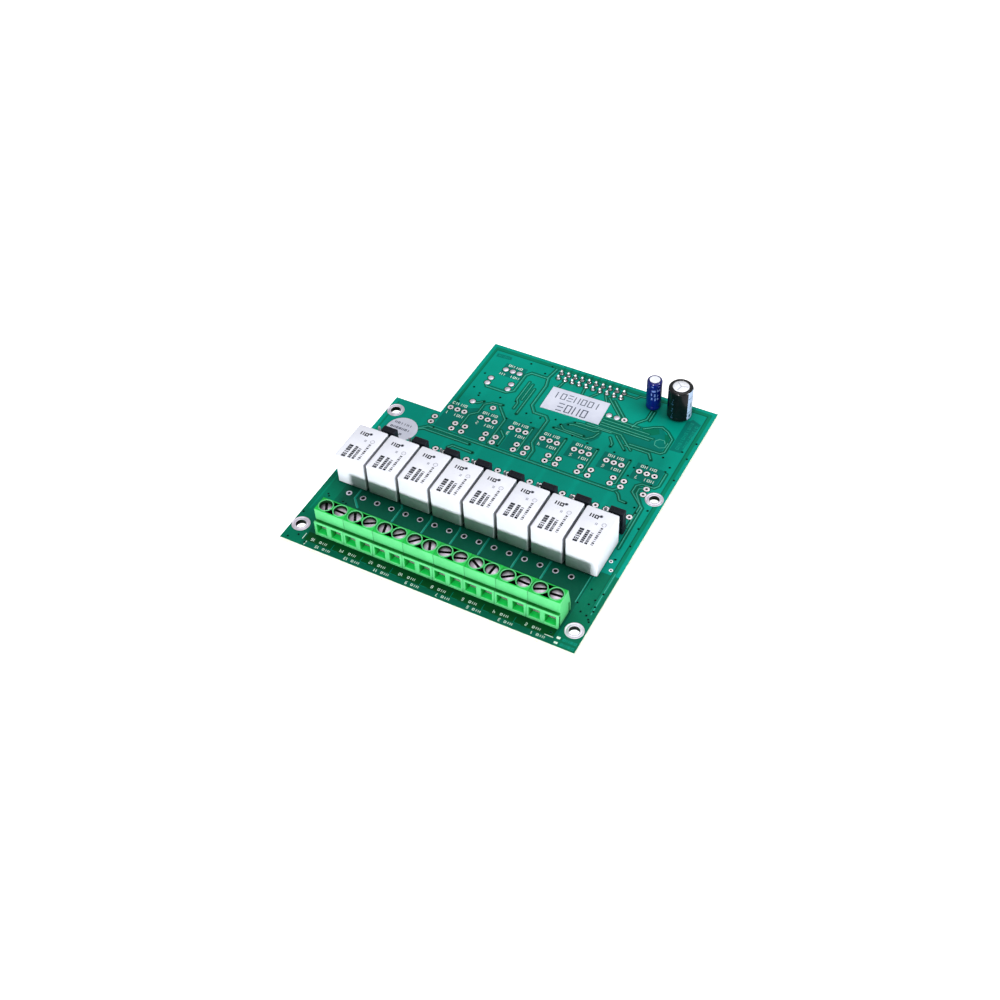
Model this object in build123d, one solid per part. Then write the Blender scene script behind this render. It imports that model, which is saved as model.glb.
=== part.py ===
from build123d import *
import math
import os

# Relay module board: an L-shaped circuit board with a row of screw terminals along its front edge,
# eight relays, a jumper behind each relay, two upright capacitors and a stacking socket underneath.
# Millimetres, +X right along the front edge, +Y to the back, +Z up. The origin is the centre of the
# four mounting holes, on the underside of the board. Sizes that say "from the left" or "from the
# front" are taken from the board's front left corner, and heights of parts from the board's top.

# Board outline and its mounting holes
board_width = 98.2
board_depth = 106.8
board_thick = 1.6
notch_width = 16.7  # the board's left strip ends early, which leaves this notch behind it
left_strip_depth = 68.7
mount_spacing_x = 91.9
mount_spacing_y = 55.9
mount_from_left = 2.9
mount_from_front = 7.2
mount_hole_d = 3.2
lead_tail = 1.8  # how far leads stand out under the board

# Terminal row: two-pole blocks, each pole with its screw, rising clamp and contact
pole_pitch = 5.08
poles_per_block = 2
block_count = 8
first_screw_from_left = 11.82
screw_line_from_front = 9.74
block_gap = 0.06
block_height = 9.85
screw_well_d = 4.1
screw_well_sides = 24  # flats of the well, enough to read as round
wall_front = 2.74  # screw line to the upper front wall
wall_back = 2.56  # screw line to the top's back edge
frame_foot = 4.24  # screw line to the foot of the lower frame
frame_lip = 3.80  # screw line to the lip at the top of the lower frame
frame_height = 5.2
heel_back = 3.86  # screw line to the heel at the back
heel_height = 3.6
groove_depth = 0.35
groove_height = 0.35
window_width = 3.6
window_sill = 0.9
window_head = 4.6
throat_width = 2.9
throat_sill = 1.0
throat_wall = 0.8
pocket_depth = 3.0
pocket_wall = 0.44
pocket_wide = 2.7  # a core-out's width at the outer wall and beside the screw line
pocket_narrow = 0.9
pocket_from_line = 0.8
dovetail_width = 0.7
dovetail_depth = 0.45
dovetail_play = 0.05
front_dovetail_from_screw = 3.2
back_dovetail_from_screw = 2.9
front_dovetail_height = 4.8
back_dovetail_height = 4.3

# Rising clamp, a box of brass round the wire and the contact bar
clamp_width = 4.0
clamp_length = 3.7
clamp_wall = 0.5
clamp_floor = 0.6
clamp_inside = 2.85
clamp_roof = 1.3
clamp_rest = 0.85  # underside of the lowered clamp
clamp_rise = 1.575  # three and a half turns of the screw's 0.45 thread
clamp_play = 0.08
clamp_ledge = 0.4  # each side of the chamber's foot, under the lowered clamp
clamp_headroom = 0.075

# Clamp screw, M2.5 with a slotted cheese head
screw_d = 2.5
thread_play = 0.03
thread_sides = 8  # the hidden threads are plain prisms with this many sides
screw_shank = 3.5
screw_head_d = 3.8
screw_head_height = 1.1
screw_slot_width = 0.6
screw_slot_depth = 0.6
screw_seat_web = 0.5
screw_seat_play = 0.05
screw_proud = 0.45  # all screws but the first stand this much above their seats
slot_angles = [120, 178, 120, 30, 105, 40, 45, 115, 20, 20, 150, 85, 35, 178, 25, 5]

# Contact bar with its solder leg
contact_width = 2.6
contact_thick = 0.7
contact_gap = 0.375  # left between the raised clamp's floor and the bar
contact_nose = 2.5  # screw line to the bar's front end
leg_width = 1.0
leg_thick = 0.75
contact_play = 0.05

# Relays, a moulded cover over a base with six pins
relay_count = 8
relay_pitch = 11.207
first_relay_from_left = 8.70
relay_front_from_front = 27.4
relay_width = 10.3
relay_length = 15.2
relay_height = 11.6
relay_stand = 0.3
relay_wall = 0.7
relay_corner = 0.8
relay_base_thick = 1.5
relay_base_play = 0.05
relay_pin_width = 0.9
relay_pin_thick = 0.5
relay_pin_reach_x = 3.81  # from the relay's middle to each of its two lines of pins
relay_pins_y = [-6.35, 3.81, 6.35]

# Jumpers, a three-pin header behind each relay with a shunt on its right two pins
jumper_from_relay_middle = 1.15
jumper_from_front = 47.0
jumper_pitch = 2.54
header_base_height = 2.5
jumper_pin_width = 0.64
jumper_pin_height = 8.2
shunt_width = 4.9
shunt_depth = 2.4
shunt_top = 8.6
shunt_hole_play = 0.06
shunt_end_wall = 0.8

# Capacitors, each a can in a shrunk sleeve
small_can_d = 5.0
small_can_height = 11.7
small_can_from_right = 20.3
small_lead_pitch = 2.0
large_can_d = 8.0
large_can_height = 12.2
large_can_from_right = 11.3
large_lead_pitch = 3.5
cans_from_back = 5.5
can_stand = 0.3
cap_lead_width = 0.5

# Stacking socket under the board, two rows of contacts soldered from the top
socket_columns = 10
socket_rows = 2
socket_pitch = 2.54
socket_last_column_from_right = 31.24
socket_back_row_from_back = 4.16
socket_height = 8.5
socket_row_wall = 1.25
socket_end_wall = 1.27
socket_way = 0.64  # width of the square way that each contact sits in
socket_way_open = 6.0  # how much of it is left open for the mating pin
socket_tail_up = 1.5

# Places worked out from the values above
origin_x = mount_from_left + mount_spacing_x / 2
origin_y = mount_from_front + mount_spacing_y / 2
top = board_thick
block_width = poles_per_block * pole_pitch - block_gap
pole_count = block_count * poles_per_block
clamp_inner_floor = clamp_rest + clamp_floor
contact_bottom = clamp_inner_floor + clamp_rise + contact_gap
contact_top = contact_bottom + contact_thick
chamber_width = clamp_width + 2 * clamp_play
chamber_length = clamp_length + 2 * clamp_play
bar_back = chamber_length / 2 - contact_play
leg_y = bar_back + leg_thick / 2
clamp_height = clamp_floor + clamp_inside + clamp_roof
chamber_top = clamp_rest + clamp_height + clamp_rise + clamp_headroom
screw_seat = chamber_top + screw_seat_web
socket_left_from_left = board_width - socket_last_column_from_right - (socket_columns - 1) * socket_pitch
socket_front_row_from_front = board_depth - socket_back_row_from_back - (socket_rows - 1) * socket_pitch
small_can_from_left = board_width - small_can_from_right
large_can_from_left = board_width - large_can_from_right
cans_from_front = board_depth - cans_from_back


def place(x, y, z=0.0):
    """A location given from the board's front left corner and its top face."""
    return Pos(x - origin_x, y - origin_y, top + z)


def block_at(width, depth, height, x=0.0, y=0.0, z=0.0):
    """A box centred on x and y that stands on z."""
    return Pos(x, y, z + height / 2) * Box(width, depth, height)


def rod_at(diameter, height, x=0.0, y=0.0, z=0.0):
    """A round rod centred on x and y that stands on z."""
    return Pos(x, y, z + height / 2) * Cylinder(diameter / 2, height)


def pole_place(index):
    """The screw axis of a pole, on the board's top face."""
    return place(first_screw_from_left + index * pole_pitch, screw_line_from_front)


def block_place(index):
    """The middle of a block, on the screw line."""
    middle = index * poles_per_block + (poles_per_block - 1) / 2
    return place(first_screw_from_left + middle * pole_pitch, screw_line_from_front)


def relay_place(index):
    """The middle of a relay's foot on the board."""
    return place(first_relay_from_left + index * relay_pitch, relay_front_from_front + relay_length / 2)


def jumper_place(index):
    """The middle of a jumper's foot on the board."""
    x = first_relay_from_left + index * relay_pitch + jumper_from_relay_middle
    return place(x, jumper_from_front)


def housing_pocket(side):
    """The core-out between the two wells of a block, in front of (-1) or behind (1) the screw line."""
    wall = wall_front if side < 0 else wall_back
    near = side * pocket_from_line
    far = side * (wall - pocket_wall)
    area = make_face(
        Polyline(
            (-pocket_narrow / 2, near),
            (pocket_narrow / 2, near),
            (pocket_wide / 2, far),
            (-pocket_wide / 2, far),
            close=True,
        )
    )
    return Pos(0, 0, block_height - pocket_depth) * extrude(area, pocket_depth, dir=(0, 0, 1))


def wire_funnel(x):
    """The entry for the wire, a window in the front that narrows to the throat."""
    mouth_y = -frame_foot - 0.2
    depth = -chamber_length / 2 - throat_wall - mouth_y
    height = window_head - window_sill
    inset = (window_width - throat_width) / 2
    lift = throat_sill - window_sill
    low, high = inset, window_width - inset
    start = (Align.CENTER, Align.MIN, Align.MIN)
    funnel = Wedge(window_width, depth, height, low, lift, high, contact_top - window_sill, align=start)
    return Pos(x, mouth_y, window_sill) * funnel


def make_housing():
    """One two-pole housing about its own middle, standing on the board."""
    outline = Plane.YZ * make_face(
        Polyline(
            (-frame_foot, 0),
            (-frame_lip, frame_height),
            (-wall_front + groove_depth, frame_height),
            (-wall_front + groove_depth, frame_height + groove_height),
            (-wall_front, frame_height + groove_height),
            (-wall_front, block_height),
            (wall_back, block_height),
            (heel_back, heel_height),
            (heel_back, 0),
            close=True,
        )
    )
    housing = extrude(outline, block_width / 2, both=True)
    foot_width = chamber_width - 2 * clamp_ledge
    head_room = chamber_top - clamp_rest
    throat_length = throat_wall + 0.5
    throat_y = -(chamber_length + throat_length - 0.5) / 2
    throat_height = contact_top - throat_sill
    leg_length = leg_thick + 2 * contact_play
    screw_well = extrude(RegularPolygon(screw_well_d / 2, screw_well_sides), block_height)
    for side in (-1, 1):
        x = side * pole_pitch / 2
        housing -= Pos(x, 0, screw_seat) * screw_well
        # the shank passes between two strips that carry the head
        strip_gap = screw_d + 2 * screw_seat_play
        housing -= block_at(strip_gap, chamber_length, screw_seat, x)
        housing -= block_at(chamber_width, chamber_length, head_room, x, 0, clamp_rest)
        # the clamp snaps in from below, past a ledge on each side
        housing -= block_at(foot_width, chamber_length, clamp_rest, x)
        housing -= wire_funnel(x)
        housing -= block_at(throat_width, throat_length, throat_height, x, throat_y, throat_sill)
        housing -= block_at(leg_width + 2 * contact_play, leg_length, contact_top, x, leg_y)
    for side in (-1, 1):
        housing -= housing_pocket(side)
    # dovetails: grooves in the right side take the ribs of the next block
    ways = (
        (-front_dovetail_from_screw, front_dovetail_height),
        (back_dovetail_from_screw, back_dovetail_height),
    )
    for y, height in ways:
        groove_x = block_width / 2 - dovetail_depth / 2
        housing -= block_at(dovetail_depth, dovetail_width, height, groove_x, y)
        rib_depth = dovetail_depth - dovetail_play
        rib_width = dovetail_width - 2 * dovetail_play
        rib_x = -(block_width + rib_depth) / 2
        housing += block_at(rib_depth, rib_width, height - dovetail_play, rib_x, y)
    return housing


def make_clamp():
    """The rising clamp in its lowered place, about the screw axis."""
    clamp = block_at(clamp_width, clamp_length, clamp_height, z=clamp_rest)
    inside_width = clamp_width - 2 * clamp_wall
    clamp -= block_at(inside_width, clamp_length, clamp_inside, z=clamp_inner_floor)
    # the flats of this prism clear the corners of the screw's
    hole_corner = (screw_d / 2 + thread_play) / math.cos(math.pi / thread_sides)
    hole = extrude(RegularPolygon(hole_corner, thread_sides), clamp_height)
    return clamp - Pos(0, 0, clamp_inner_floor) * hole


def make_screw(angle, proud):
    """A clamp screw about its own axis, its head standing proud above the seat."""
    head_bottom = screw_seat + proud
    screw = rod_at(screw_head_d, screw_head_height, z=head_bottom)
    shank = extrude(RegularPolygon(screw_d / 2, thread_sides), screw_shank)
    screw += Pos(0, 0, head_bottom - screw_shank) * shank
    slot_z = head_bottom + screw_head_height - screw_slot_depth
    slot = block_at(screw_head_d, screw_slot_width, screw_slot_depth, z=slot_z)
    return screw - Rot(0, 0, angle) * slot


def make_contact():
    """The contact bar with the leg that goes down behind it and through the board."""
    bar_length = contact_nose + bar_back
    bar_y = (bar_back - contact_nose) / 2
    foot = -board_thick - lead_tail
    contact = block_at(contact_width, bar_length, contact_thick, 0, bar_y, contact_bottom)
    return contact + block_at(leg_width, leg_thick, contact_top - foot, 0, leg_y, foot)


def make_relay_cover():
    """The relay's cover, a moulded shell open at the foot."""
    height = relay_height - relay_stand
    cover = block_at(relay_width, relay_length, height, z=relay_stand)
    cover = chamfer(cover.edges().filter_by(Axis.Z), relay_corner * 0.6)
    inner_width = relay_width - 2 * relay_wall
    inner_length = relay_length - 2 * relay_wall
    return cover - block_at(inner_width, inner_length, height - relay_wall, z=relay_stand)


def relay_pin_spots():
    """The six pins from the relay's middle, a pair in front and two pairs at the back."""
    return [(side * relay_pin_reach_x, y) for side in (-1, 1) for y in relay_pins_y]


def make_relay_base():
    """The base inside the cover's foot, with its six pins moulded in from below."""
    width = relay_width - 2 * relay_wall - 2 * relay_base_play
    length = relay_length - 2 * relay_wall - 2 * relay_base_play
    return block_at(width, length, relay_base_thick, z=relay_stand)


def make_relay_pin():
    """One relay pin, from the base to under the board."""
    foot = -board_thick - lead_tail
    return block_at(relay_pin_width, relay_pin_thick, relay_stand - foot, z=foot)


def jumper_pin_spots():
    """The three pins of a header from its middle, left to right."""
    return [step * jumper_pitch for step in (-1, 0, 1)]


def make_jumper_base():
    """The header's insulator with a hole for each pin."""
    base = block_at(3 * jumper_pitch, shunt_depth, header_base_height)
    for x in jumper_pin_spots():
        base -= block_at(jumper_pin_width, jumper_pin_width, header_base_height, x)
    return base


def make_jumper_pin():
    """One square header pin, from the shunt to under the board."""
    foot = -board_thick - lead_tail
    return block_at(jumper_pin_width, jumper_pin_width, jumper_pin_height - foot, z=foot)


def make_shunt():
    """The shunt, a cap over the right two pins, hollow for the contact that bridges them."""
    height = shunt_top - header_base_height
    middle = jumper_pitch / 2
    shunt = block_at(shunt_width, shunt_depth, height, middle, 0, header_base_height)
    cavity_length = shunt_width - 2 * shunt_end_wall
    cavity_width = jumper_pin_width + 2 * shunt_hole_play
    cavity_height = jumper_pin_height + shunt_hole_play - header_base_height
    cavity = block_at(cavity_length, cavity_width, cavity_height, middle, 0, header_base_height)
    return shunt - cavity


def make_capacitor(diameter, height, lead_pitch):
    """A capacitor, a can in its shrunk sleeve, with its two leads."""
    can = rod_at(diameter, height - can_stand, z=can_stand)
    foot = -board_thick - lead_tail
    for side in (-1, 1):
        can += block_at(cap_lead_width, cap_lead_width, can_stand - foot, 0, side * lead_pitch / 2, foot)
    return can


def socket_spots():
    """The places of the socket's contacts, from the board's front left corner."""
    return [
        (socket_left_from_left + column * socket_pitch, socket_front_row_from_front + row * socket_pitch)
        for column in range(socket_columns)
        for row in range(socket_rows)
    ]


def make_socket_body():
    """The socket's insulator under the board, with an open way for each mating pin."""
    length = (socket_columns - 1) * socket_pitch + 2 * socket_end_wall
    depth = (socket_rows - 1) * socket_pitch + 2 * socket_row_wall
    mid_x = socket_left_from_left + (socket_columns - 1) * socket_pitch / 2
    mid_y = socket_front_row_from_front + (socket_rows - 1) * socket_pitch / 2
    foot = -board_thick - socket_height
    body = place(mid_x, mid_y) * block_at(length, depth, socket_height, z=foot)
    way = block_at(socket_way, socket_way, socket_height, z=foot)
    return body - [place(x, y) * way for x, y in socket_spots()]


def make_socket_contact():
    """One contact, from inside the socket up through the board to its soldered tip."""
    foot = -board_thick - socket_height + socket_way_open
    return block_at(socket_way, socket_way, socket_tail_up - foot, z=foot)


def capacitor_places():
    """Each capacitor's axis from the board's front left corner, and the pitch of its leads."""
    return [
        (small_can_from_left, cans_from_front, small_lead_pitch),
        (large_can_from_left, cans_from_front, large_lead_pitch),
    ]


def lead_holes():
    """A cutter for each lead that passes the board, as thick as the board.
    Solder fills the gap round a lead, so its hole has the lead's own section."""
    spots = [(pole_place(index) * Pos(0, leg_y), leg_width, leg_thick) for index in range(pole_count)]
    for index in range(relay_count):
        for x, y in relay_pin_spots():
            spots.append((relay_place(index) * Pos(x, y), relay_pin_width, relay_pin_thick))
        for x in jumper_pin_spots():
            spots.append((jumper_place(index) * Pos(x, 0), jumper_pin_width, jumper_pin_width))
    for x, y in socket_spots():
        spots.append((place(x, y), socket_way, socket_way))
    for x, y, pitch in capacitor_places():
        for side in (-1, 1):
            spots.append((place(x, y + side * pitch / 2), cap_lead_width, cap_lead_width))
    return [spot * block_at(width, depth, board_thick, z=-board_thick) for spot, width, depth in spots]


def mount_spots():
    """The four mounting holes from the board's front left corner."""
    return [
        (mount_from_left + i * mount_spacing_x, mount_from_front + j * mount_spacing_y)
        for i in (0, 1)
        for j in (0, 1)
    ]


def make_board():
    """The board: its L outline, the mounting holes and a hole for each lead."""
    outline = make_face(
        Polyline(
            (0, 0),
            (board_width, 0),
            (board_width, board_depth),
            (notch_width, board_depth),
            (notch_width, left_strip_depth),
            (0, left_strip_depth),
            close=True,
        )
    )
    board = place(0, 0, -board_thick) * extrude(outline, board_thick)
    mounts = [place(x, y) * rod_at(mount_hole_d, board_thick, z=-board_thick) for x, y in mount_spots()]
    return board - (mounts + lead_holes())


def save(name, solids):
    """Writes one node, a single solid or a group of separate solids."""
    shape = solids[0] if len(solids) == 1 else Compound(children=list(solids))
    export_step(shape, f"parts/{name}.step")


def main():
    os.makedirs("parts", exist_ok=True)
    save("board", [make_board()])

    housing = make_housing()
    clamp = make_clamp()
    contact = make_contact()
    for index in range(block_count):
        save(f"terminal_housing_{index + 1}", [block_place(index) * housing])
    for index in range(pole_count):
        proud = screw_proud if index > 0 else 0.0
        screw = make_screw(slot_angles[index], proud)
        save(f"clamp_screw_{index + 1:02d}", [pole_place(index) * screw])
        save(f"wire_clamp_{index + 1:02d}", [pole_place(index) * clamp])
    save("terminal_contacts", [pole_place(index) * contact for index in range(pole_count)])

    cover = make_relay_cover()
    base = make_relay_base()
    pin = make_relay_pin()
    relays = [relay_place(index) for index in range(relay_count)]
    for index, spot in enumerate(relays):
        save(f"relay_cover_{index + 1}", [spot * cover])
    save("relay_bases", [spot * base for spot in relays])
    save("relay_pins", [spot * Pos(x, y) * pin for spot in relays for x, y in relay_pin_spots()])

    jumpers = [jumper_place(index) for index in range(relay_count)]
    jumper_base = make_jumper_base()
    jumper_pin = make_jumper_pin()
    shunt = make_shunt()
    save("jumper_headers", [spot * jumper_base for spot in jumpers])
    save("jumper_pins", [spot * Pos(x, 0) * jumper_pin for spot in jumpers for x in jumper_pin_spots()])
    save("jumper_shunts", [spot * shunt for spot in jumpers])

    small_spot = place(small_can_from_left, cans_from_front)
    large_spot = place(large_can_from_left, cans_from_front)
    save("capacitor_small", [small_spot * make_capacitor(small_can_d, small_can_height, small_lead_pitch)])
    save("capacitor_large", [large_spot * make_capacitor(large_can_d, large_can_height, large_lead_pitch)])

    save("socket_body", [make_socket_body()])
    socket_contact = make_socket_contact()
    save("socket_contacts", [place(x, y) * socket_contact for x, y in socket_spots()])


main()
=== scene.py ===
import math

import bmesh
import bpy
from mathutils import Matrix, Vector
from mathutils.geometry import delaunay_2d_cdt


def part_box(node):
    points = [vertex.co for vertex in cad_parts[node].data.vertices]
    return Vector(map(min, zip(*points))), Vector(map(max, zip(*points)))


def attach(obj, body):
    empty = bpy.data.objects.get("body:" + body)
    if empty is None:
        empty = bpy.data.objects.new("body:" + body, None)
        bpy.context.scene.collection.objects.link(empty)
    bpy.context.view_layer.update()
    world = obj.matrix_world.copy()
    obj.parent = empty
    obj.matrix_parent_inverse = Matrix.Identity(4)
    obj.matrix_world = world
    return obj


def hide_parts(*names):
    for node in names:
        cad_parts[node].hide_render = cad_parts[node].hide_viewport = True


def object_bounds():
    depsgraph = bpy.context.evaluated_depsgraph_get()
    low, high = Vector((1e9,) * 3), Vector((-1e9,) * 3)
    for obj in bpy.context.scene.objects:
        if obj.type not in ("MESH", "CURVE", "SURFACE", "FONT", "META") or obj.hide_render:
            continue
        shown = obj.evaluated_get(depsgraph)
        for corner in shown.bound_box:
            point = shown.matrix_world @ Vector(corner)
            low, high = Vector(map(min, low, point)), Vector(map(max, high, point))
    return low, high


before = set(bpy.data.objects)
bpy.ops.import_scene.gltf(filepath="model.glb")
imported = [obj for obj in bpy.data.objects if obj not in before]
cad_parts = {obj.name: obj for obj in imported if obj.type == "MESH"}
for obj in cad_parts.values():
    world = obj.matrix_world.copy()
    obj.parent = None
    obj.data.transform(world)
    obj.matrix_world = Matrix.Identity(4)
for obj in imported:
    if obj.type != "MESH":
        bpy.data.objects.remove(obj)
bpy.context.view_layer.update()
print("frame loaded:", len(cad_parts), "nodes")

# Sizes are in millimetres. x and y run from the board's front left corner and z from its top face,
# so spot() turns such a place into the frame's own metres.
mm = 0.001
board = {
    "width": 98.2, "depth": 106.8, "thick": 1.6, "notchWidth": 16.7, "stripDepth": 68.7,
    "originX": 48.85, "originY": 35.15, "holeR": 1.6,
    "mounts": [(2.9, 7.2), (94.8, 7.2), (2.9, 63.1), (94.8, 63.1)],
}
rootBody = "board_assembly"  # the body that all but the screws and the clamps ride on


def spot(x, y, z=0.0):
    return Vector((x - board["originX"], y - board["originY"], z + board["thick"])) * mm


def tone(red, green, blue):
    # a screen colour, 0 to 255, as the renderer's linear values
    parts = []
    for value in (red, green, blue):
        share = value / 255
        parts.append(share / 12.92 if share <= 0.04045 else ((share + 0.055) / 1.055) ** 2.4)
    return (*parts, 1.0)


def newGroup(name, inputs, outputs):
    group = bpy.data.node_groups.new(name, "ShaderNodeTree")
    for label, kind, value in inputs:
        socket = group.interface.new_socket(label, in_out="INPUT", socket_type=kind)
        socket.default_value = value
    for label, kind in outputs:
        group.interface.new_socket(label, in_out="OUTPUT", socket_type=kind)
    start = group.nodes.new("NodeGroupInput")
    end = group.nodes.new("NodeGroupOutput")
    return group, start, end


def addNode(tree, kind, values=None, **settings):
    # values go to the node's sockets, settings to the node itself
    node = tree.nodes.new(kind)
    for label, value in settings.items():
        setattr(node, label, value)
    for label, value in (values or {}).items():
        node.inputs[label].default_value = value
    return node


def wire(tree, *ways):
    # each way is a node, its output, the next node and its input
    for source, output, target, entry in ways:
        tree.links.new(source.outputs[output], target.inputs[entry])


def makeMottle():
    # slow change of colour over a surface, as a moulded or printed one has
    group, start, end = newGroup(
        "mottle",
        [("Color", "NodeSocketColor", (0.5, 0.5, 0.5, 1)), ("Shade", "NodeSocketColor", (0.4, 0.4, 0.4, 1)),
         ("Scale", "NodeSocketFloat", 300.0), ("Amount", "NodeSocketFloat", 0.3)],
        [("Color", "NodeSocketColor")],
    )
    place = addNode(group, "ShaderNodeTexCoord")
    noise = addNode(group, "ShaderNodeTexNoise", {"Detail": 4.0})
    spread = addNode(group, "ShaderNodeMapRange", {"From Min": 0.35, "From Max": 0.65})
    share = addNode(group, "ShaderNodeMath", operation="MULTIPLY")
    mix = addNode(group, "ShaderNodeMix", data_type="RGBA")
    wire(group, (place, "Object", noise, "Vector"), (start, "Scale", noise, "Scale"),
         (noise, "Fac", spread, "Value"), (spread, "Result", share, 0), (start, "Amount", share, 1),
         (share, 0, mix, "Factor"), (start, "Color", mix, "A"), (start, "Shade", mix, "B"),
         (mix, "Result", end, "Color"))
    return group


def makeGrain():
    # fine texture of a surface, with the roughness that goes with it
    group, start, end = newGroup(
        "grain",
        [("Scale", "NodeSocketFloat", 4000.0), ("Roughness", "NodeSocketFloat", 0.4),
         ("Spread", "NodeSocketFloat", 0.1)],
        [("Height", "NodeSocketFloat"), ("Roughness", "NodeSocketFloat")],
    )
    place = addNode(group, "ShaderNodeTexCoord")
    fine = addNode(group, "ShaderNodeTexNoise", {"Detail": 3.0})
    slow = addNode(group, "ShaderNodeTexNoise", {"Scale": 250.0})
    centre = addNode(group, "ShaderNodeMath", {1: 0.5}, operation="SUBTRACT")
    scaled = addNode(group, "ShaderNodeMath", operation="MULTIPLY_ADD")
    wire(group, (place, "Object", fine, "Vector"), (place, "Object", slow, "Vector"),
         (start, "Scale", fine, "Scale"), (slow, "Fac", centre, 0), (centre, 0, scaled, 0),
         (start, "Spread", scaled, 1), (start, "Roughness", scaled, 2), (fine, "Fac", end, "Height"),
         (scaled, 0, end, "Roughness"))
    return group


def makeCrevice():
    # painted shade: darkens a colour in corners, wells and gaps, where little light gets in
    group, start, end = newGroup(
        "paintedCornerShade",
        [("Color", "NodeSocketColor", (0.5, 0.5, 0.5, 1)), ("Reach", "NodeSocketFloat", 0.003),
         ("Depth", "NodeSocketFloat", 0.6)],
        [("Color", "NodeSocketColor")],
    )
    opening = addNode(group, "ShaderNodeAmbientOcclusion", samples=8)
    closed = addNode(group, "ShaderNodeMath", {0: 1.0}, operation="SUBTRACT")
    share = addNode(group, "ShaderNodeMath", operation="MULTIPLY", use_clamp=True)
    mix = addNode(group, "ShaderNodeMix", {"B": (0.0, 0.0, 0.0, 1.0)}, data_type="RGBA")
    wire(group, (start, "Reach", opening, "Distance"), (opening, "AO", closed, 1), (closed, 0, share, 0),
         (start, "Depth", share, 1), (share, 0, mix, "Factor"), (start, "Color", mix, "A"),
         (mix, "Result", end, "Color"))
    return group


mottle = makeMottle()
grain = makeGrain()
paintedCornerShade = makeCrevice()


def makeFinish(name, color, shade, mottling, graining, metallic=0.0, coat=0.0, specular=0.5, reach=3.0,
               depth=0.6):
    # Mottling is its scale and amount. Graining is its scale, the roughness, the roughness's spread and the
    # bump. Painted shade darkens the colour in corners within the reach, in millimetres, by the depth.
    material = bpy.data.materials.new(name)
    material.use_nodes = True
    tree = material.node_tree
    shader = tree.nodes["Principled BSDF"]
    colors = addNode(tree, "ShaderNodeGroup", node_tree=mottle)
    grains = addNode(tree, "ShaderNodeGroup", node_tree=grain)
    bump = addNode(tree, "ShaderNodeBump")
    # painted shade in corners, wells and gaps
    corners = addNode(tree, "ShaderNodeGroup", node_tree=paintedCornerShade)
    scale, amount = mottling
    grainScale, roughness, spread, bumpStrength = graining
    values = [
        (colors, {"Color": tone(*color), "Shade": tone(*shade), "Scale": scale, "Amount": amount}),
        (grains, {"Scale": grainScale, "Roughness": roughness, "Spread": spread}),
        (bump, {"Strength": bumpStrength, "Distance": 0.0001}),
        (corners, {"Reach": reach * mm, "Depth": depth}),
        (shader, {"Metallic": metallic, "Coat Weight": coat, "Coat Roughness": 0.1,
                  "Specular IOR Level": specular}),
    ]
    for node, sockets in values:
        for label, value in sockets.items():
            node.inputs[label].default_value = value
    wire(tree, (colors, "Color", corners, "Color"), (corners, "Color", shader, "Base Color"),
         (grains, "Roughness", shader, "Roughness"), (grains, "Height", bump, "Height"),
         (bump, "Normal", shader, "Normal"))
    return material


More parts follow.
